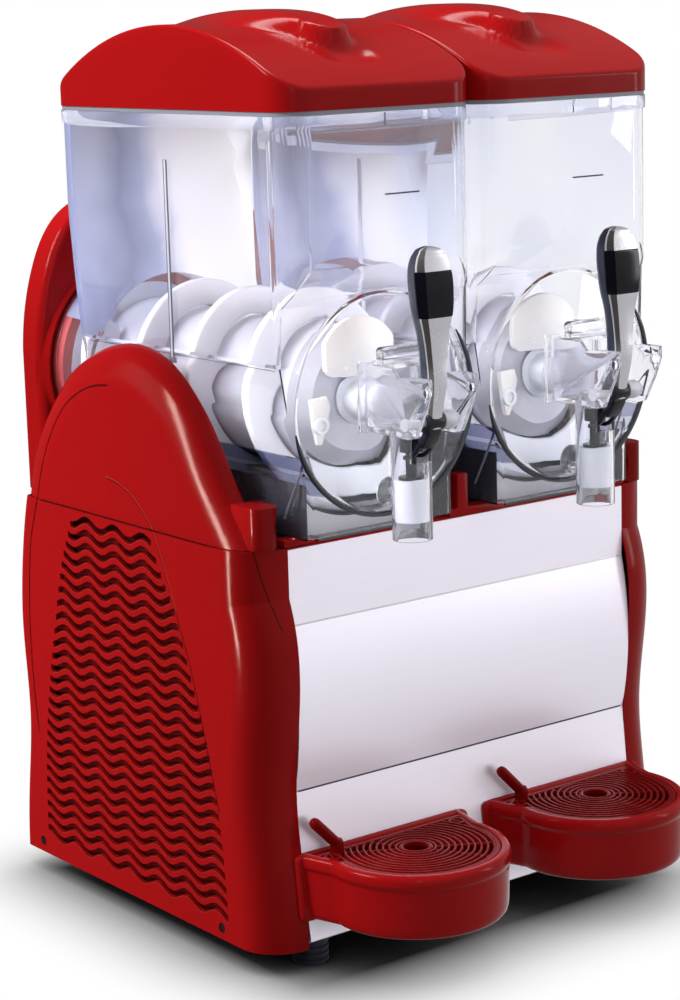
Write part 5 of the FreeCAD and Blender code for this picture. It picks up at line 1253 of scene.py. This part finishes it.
# %% Floor and surround
REACH = 12.0
FLOOR_FADE, FLOOR_BOUNCE, FLOOR_MIRROR = 0.16, 0.3, 0.78
CONTACT_REACH, CONTACT_DEPTH = 0.13, 2.6
FOOTPRINT = ((-0.01, 0.22), (0.03, 0.21))
CARD_FROM, CARD_TO, MIRROR_DARK, MIRROR_CARD = -0.1, 0.7, 0.06, 0.95
CARD_SIDE = Vector((0.62, -0.78, 0.1)).normalized()
SKY_SEEN, SKY_HIGH, SKY_LOW, SKY_FULL = 1.0, 0.5, 0.12, 0.9


def emission(tree, strength):
    """White light of a plain or linked strength."""
    return added(tree, "Emission", {"Color": (1, 1, 1, 1), "Strength": strength})


def card_strength(tree, direction):
    """What a glossy surface sees: a white card to the front right and dark elsewhere, with a soft edge."""
    unit = added(tree, "VectorMath", {0: direction}, operation="NORMALIZE")
    aim = added(tree, "VectorMath", {0: unit.outputs[0], 1: CARD_SIDE}, operation="DOT_PRODUCT")
    return ranged(tree, aim.outputs["Value"], CARD_FROM, CARD_TO, MIRROR_DARK, MIRROR_CARD)


def seen_or_through(tree, path):
    """1 for what the eye meets straight or through clear plastic."""
    return mathed(tree, "MAXIMUM", path.outputs["Is Camera Ray"], path.outputs["Is Transmission Ray"])


def from_footprint(tree, place):
    """How far a floor point lies outside the machine's footprint: the root of its two excesses squared."""
    parts = added(tree, "SeparateXYZ", {0: place})
    squares = []
    for axis, (middle, half) in zip("XY", FOOTPRINT):
        away = mathed(tree, "ABSOLUTE", mathed(tree, "SUBTRACT", parts.outputs[axis], middle))
        excess = mathed(tree, "MAXIMUM", mathed(tree, "SUBTRACT", away, half), 0.0)
        squares.append(mathed(tree, "POWER", excess, 2.0))
    return mathed(tree, "SQRT", mathed(tree, "ADD", *squares))


def make_floor():
    """A white floor with soft contact shade for the eye, a dim one for the light, a card for reflections."""
    mesh = bpy.data.meshes.new("studio_floor")
    corners = [(-REACH, -REACH, 0), (REACH, -REACH, 0), (REACH, REACH, 0), (-REACH, REACH, 0)]
    mesh.from_pydata(corners, [], [(0, 1, 2, 3)])
    floor = placed("studio_floor", mesh)
    finish = bpy.data.materials.new("pale_floor")
    finish.use_nodes = True
    mesh.materials.append(finish)
    tree = finish.node_tree
    place = place_of(tree)
    far = ranged(tree, from_footprint(tree, place), 0.0, FLOOR_FADE, 0.0, 1.0)
    contact = added(tree, "AmbientOcclusion", {"Distance": CONTACT_REACH})
    shaded = emission(tree, mathed(tree, "POWER", contact.outputs["AO"], CONTACT_DEPTH))
    eyed = two_ways(tree, far, shaded, emission(tree, 1.0))
    path = added(tree, "LightPath")
    bounce = added(tree, "BsdfDiffuse", {"Color": (FLOOR_BOUNCE, FLOOR_BOUNCE, FLOOR_BOUNCE, 1)})
    mirrored = emission(tree, mathed(tree, "MULTIPLY", card_strength(tree, place), FLOOR_MIRROR))
    unseen = two_ways(tree, path.outputs["Is Glossy Ray"], bounce, mirrored)
    choice = two_ways(tree, seen_or_through(tree, path), unseen, eyed)
    tree.links.new(choice.outputs[0], node_of(tree, "OUTPUT_MATERIAL").inputs["Surface"])
    tree.nodes.remove(node_of(tree, "BSDF_PRINCIPLED"))


def make_sky():
    """White for the eye, a gradient that fills the shade, and the card for reflections."""
    world = bpy.data.worlds.new("studio")
    bpy.context.scene.world = world
    world.use_nodes = True
    sky = world.node_tree
    direction = added(sky, "TexCoord").outputs["Generated"]
    height = added(sky, "SeparateXYZ", {0: direction}).outputs["Z"]
    path = added(sky, "LightPath")
    seen = seen_or_through(sky, path)
    hidden = mathed(sky, "SUBTRACT", 1.0, seen)
    glossy = mathed(sky, "MULTIPLY", path.outputs["Is Glossy Ray"], hidden)
    filling = mathed(sky, "SUBTRACT", hidden, glossy)
    shares = ((seen, SKY_SEEN), (filling, ranged(sky, height, 0.0, SKY_FULL, SKY_LOW, SKY_HIGH)),
              (glossy, card_strength(sky, direction)))
    lit, fill, card = (mathed(sky, "MULTIPLY", share, light) for share, light in shares)
    background = node_of(sky, "BACKGROUND")
    background.inputs["Color"].default_value = (1, 1, 1, 1)
    total = mathed(sky, "ADD", mathed(sky, "ADD", lit, fill), card)
    sky.links.new(total, background.inputs["Strength"])


make_floor()
make_sky()

# %% Lamps
def softbox(name, place, target, width, height, watts):
    """A rectangular area lamp that faces a target."""
    lamp = bpy.data.lights.new(name, "AREA")
    lamp.shape = "RECTANGLE"
    lamp.size, lamp.size_y, lamp.energy = width, height, watts
    thing = placed(name, lamp)
    thing.location = place
    thing.rotation_euler = (Vector(target) - Vector(place)).to_track_quat("-Z", "Y").to_euler()
    return thing


def flagged(lamp, names, state):
    """Keeps a lamp's light to these pieces (INCLUDE) or off them (EXCLUDE), as a photographer's flags do."""
    group = bpy.data.collections.new(f"{lamp.name}_flags")
    for name in names:
        group.objects.link(bpy.data.objects[name] if name in bpy.data.objects else frame["nodes"][name])
    for entry in group.collection_objects:
        entry.light_linking.link_state = state
    lamp.light_linking.receiver_collection = group


def each_side(*pieces):
    """The names of pieces that both sides have."""
    return [f"{side}_{piece}" for side in SIDES for piece in pieces]


ARCHES = each_side("arch_cover_soft")
COVERS = each_side("louvre_panel") + ARCHES
INSIDE = each_side("bowl_clear", "auger_ribbon", "auger_front")
STEEL = ["front_panel", "lower_front_panel"]
FILL, RIM = ("camera", "transmission", "glossy"), ("camera", "transmission", "diffuse")
# name, place, target, width, height, watts, the pieces it leaves out or lights alone, and where it isn't seen
LAMPS = [
    ("key", (-1.9, 0.75, 1.9), (0, 0, 0.5), 1.0, 1.0, 50, COVERS, "EXCLUDE", ()),
    ("left_strip", (-1.7, -2.4, 1.5), (0, 0, 0.45), 0.2, 1.6, 3, COVERS, "EXCLUDE", ()),
    ("top", (0.2, 0.7, 2.5), (0, 0, 0.7), 1.2, 0.6, 26, ARCHES, "EXCLUDE", ()),
    ("right_strip", (2.3, -1.9, 1.2), (0, 0, 0.45), 0.4, 1.8, 16, ARCHES, "EXCLUDE", ()),
    ("cover_key", (-1.7, 1.6, 1.2), (0, 0, 0.4), 1.0, 1.0, 57, COVERS, "INCLUDE", FILL),
    ("rim_strip", (-1.2, 0.3, 0.6), (-0.2, -0.08, 0.45), 0.12, 1.1, 30, COVERS, "INCLUDE", RIM),
    ("bowl_fill", (0.5, -2.6, 1.0), (0, 0, 0.62), 1.4, 0.8, 42, INSIDE, "INCLUDE", FILL),
    ("steel_fill", (0.5, -2.6, 0.2), (0, 0, 0.25), 1.4, 0.8, 88, STEEL, "INCLUDE", FILL),
]
WARM = (1.0, 0.86, 0.74)
for name, *placing, pieces, state, without in LAMPS:
    lamp = softbox(name, *placing)
    flagged(lamp, pieces, state)
    for kind in without:
        setattr(lamp, f"visible_{kind}", False)
bpy.data.objects["rim_strip"].data.color = WARM

# %% Settings
bpy.context.scene.view_settings.view_transform = "Standard"
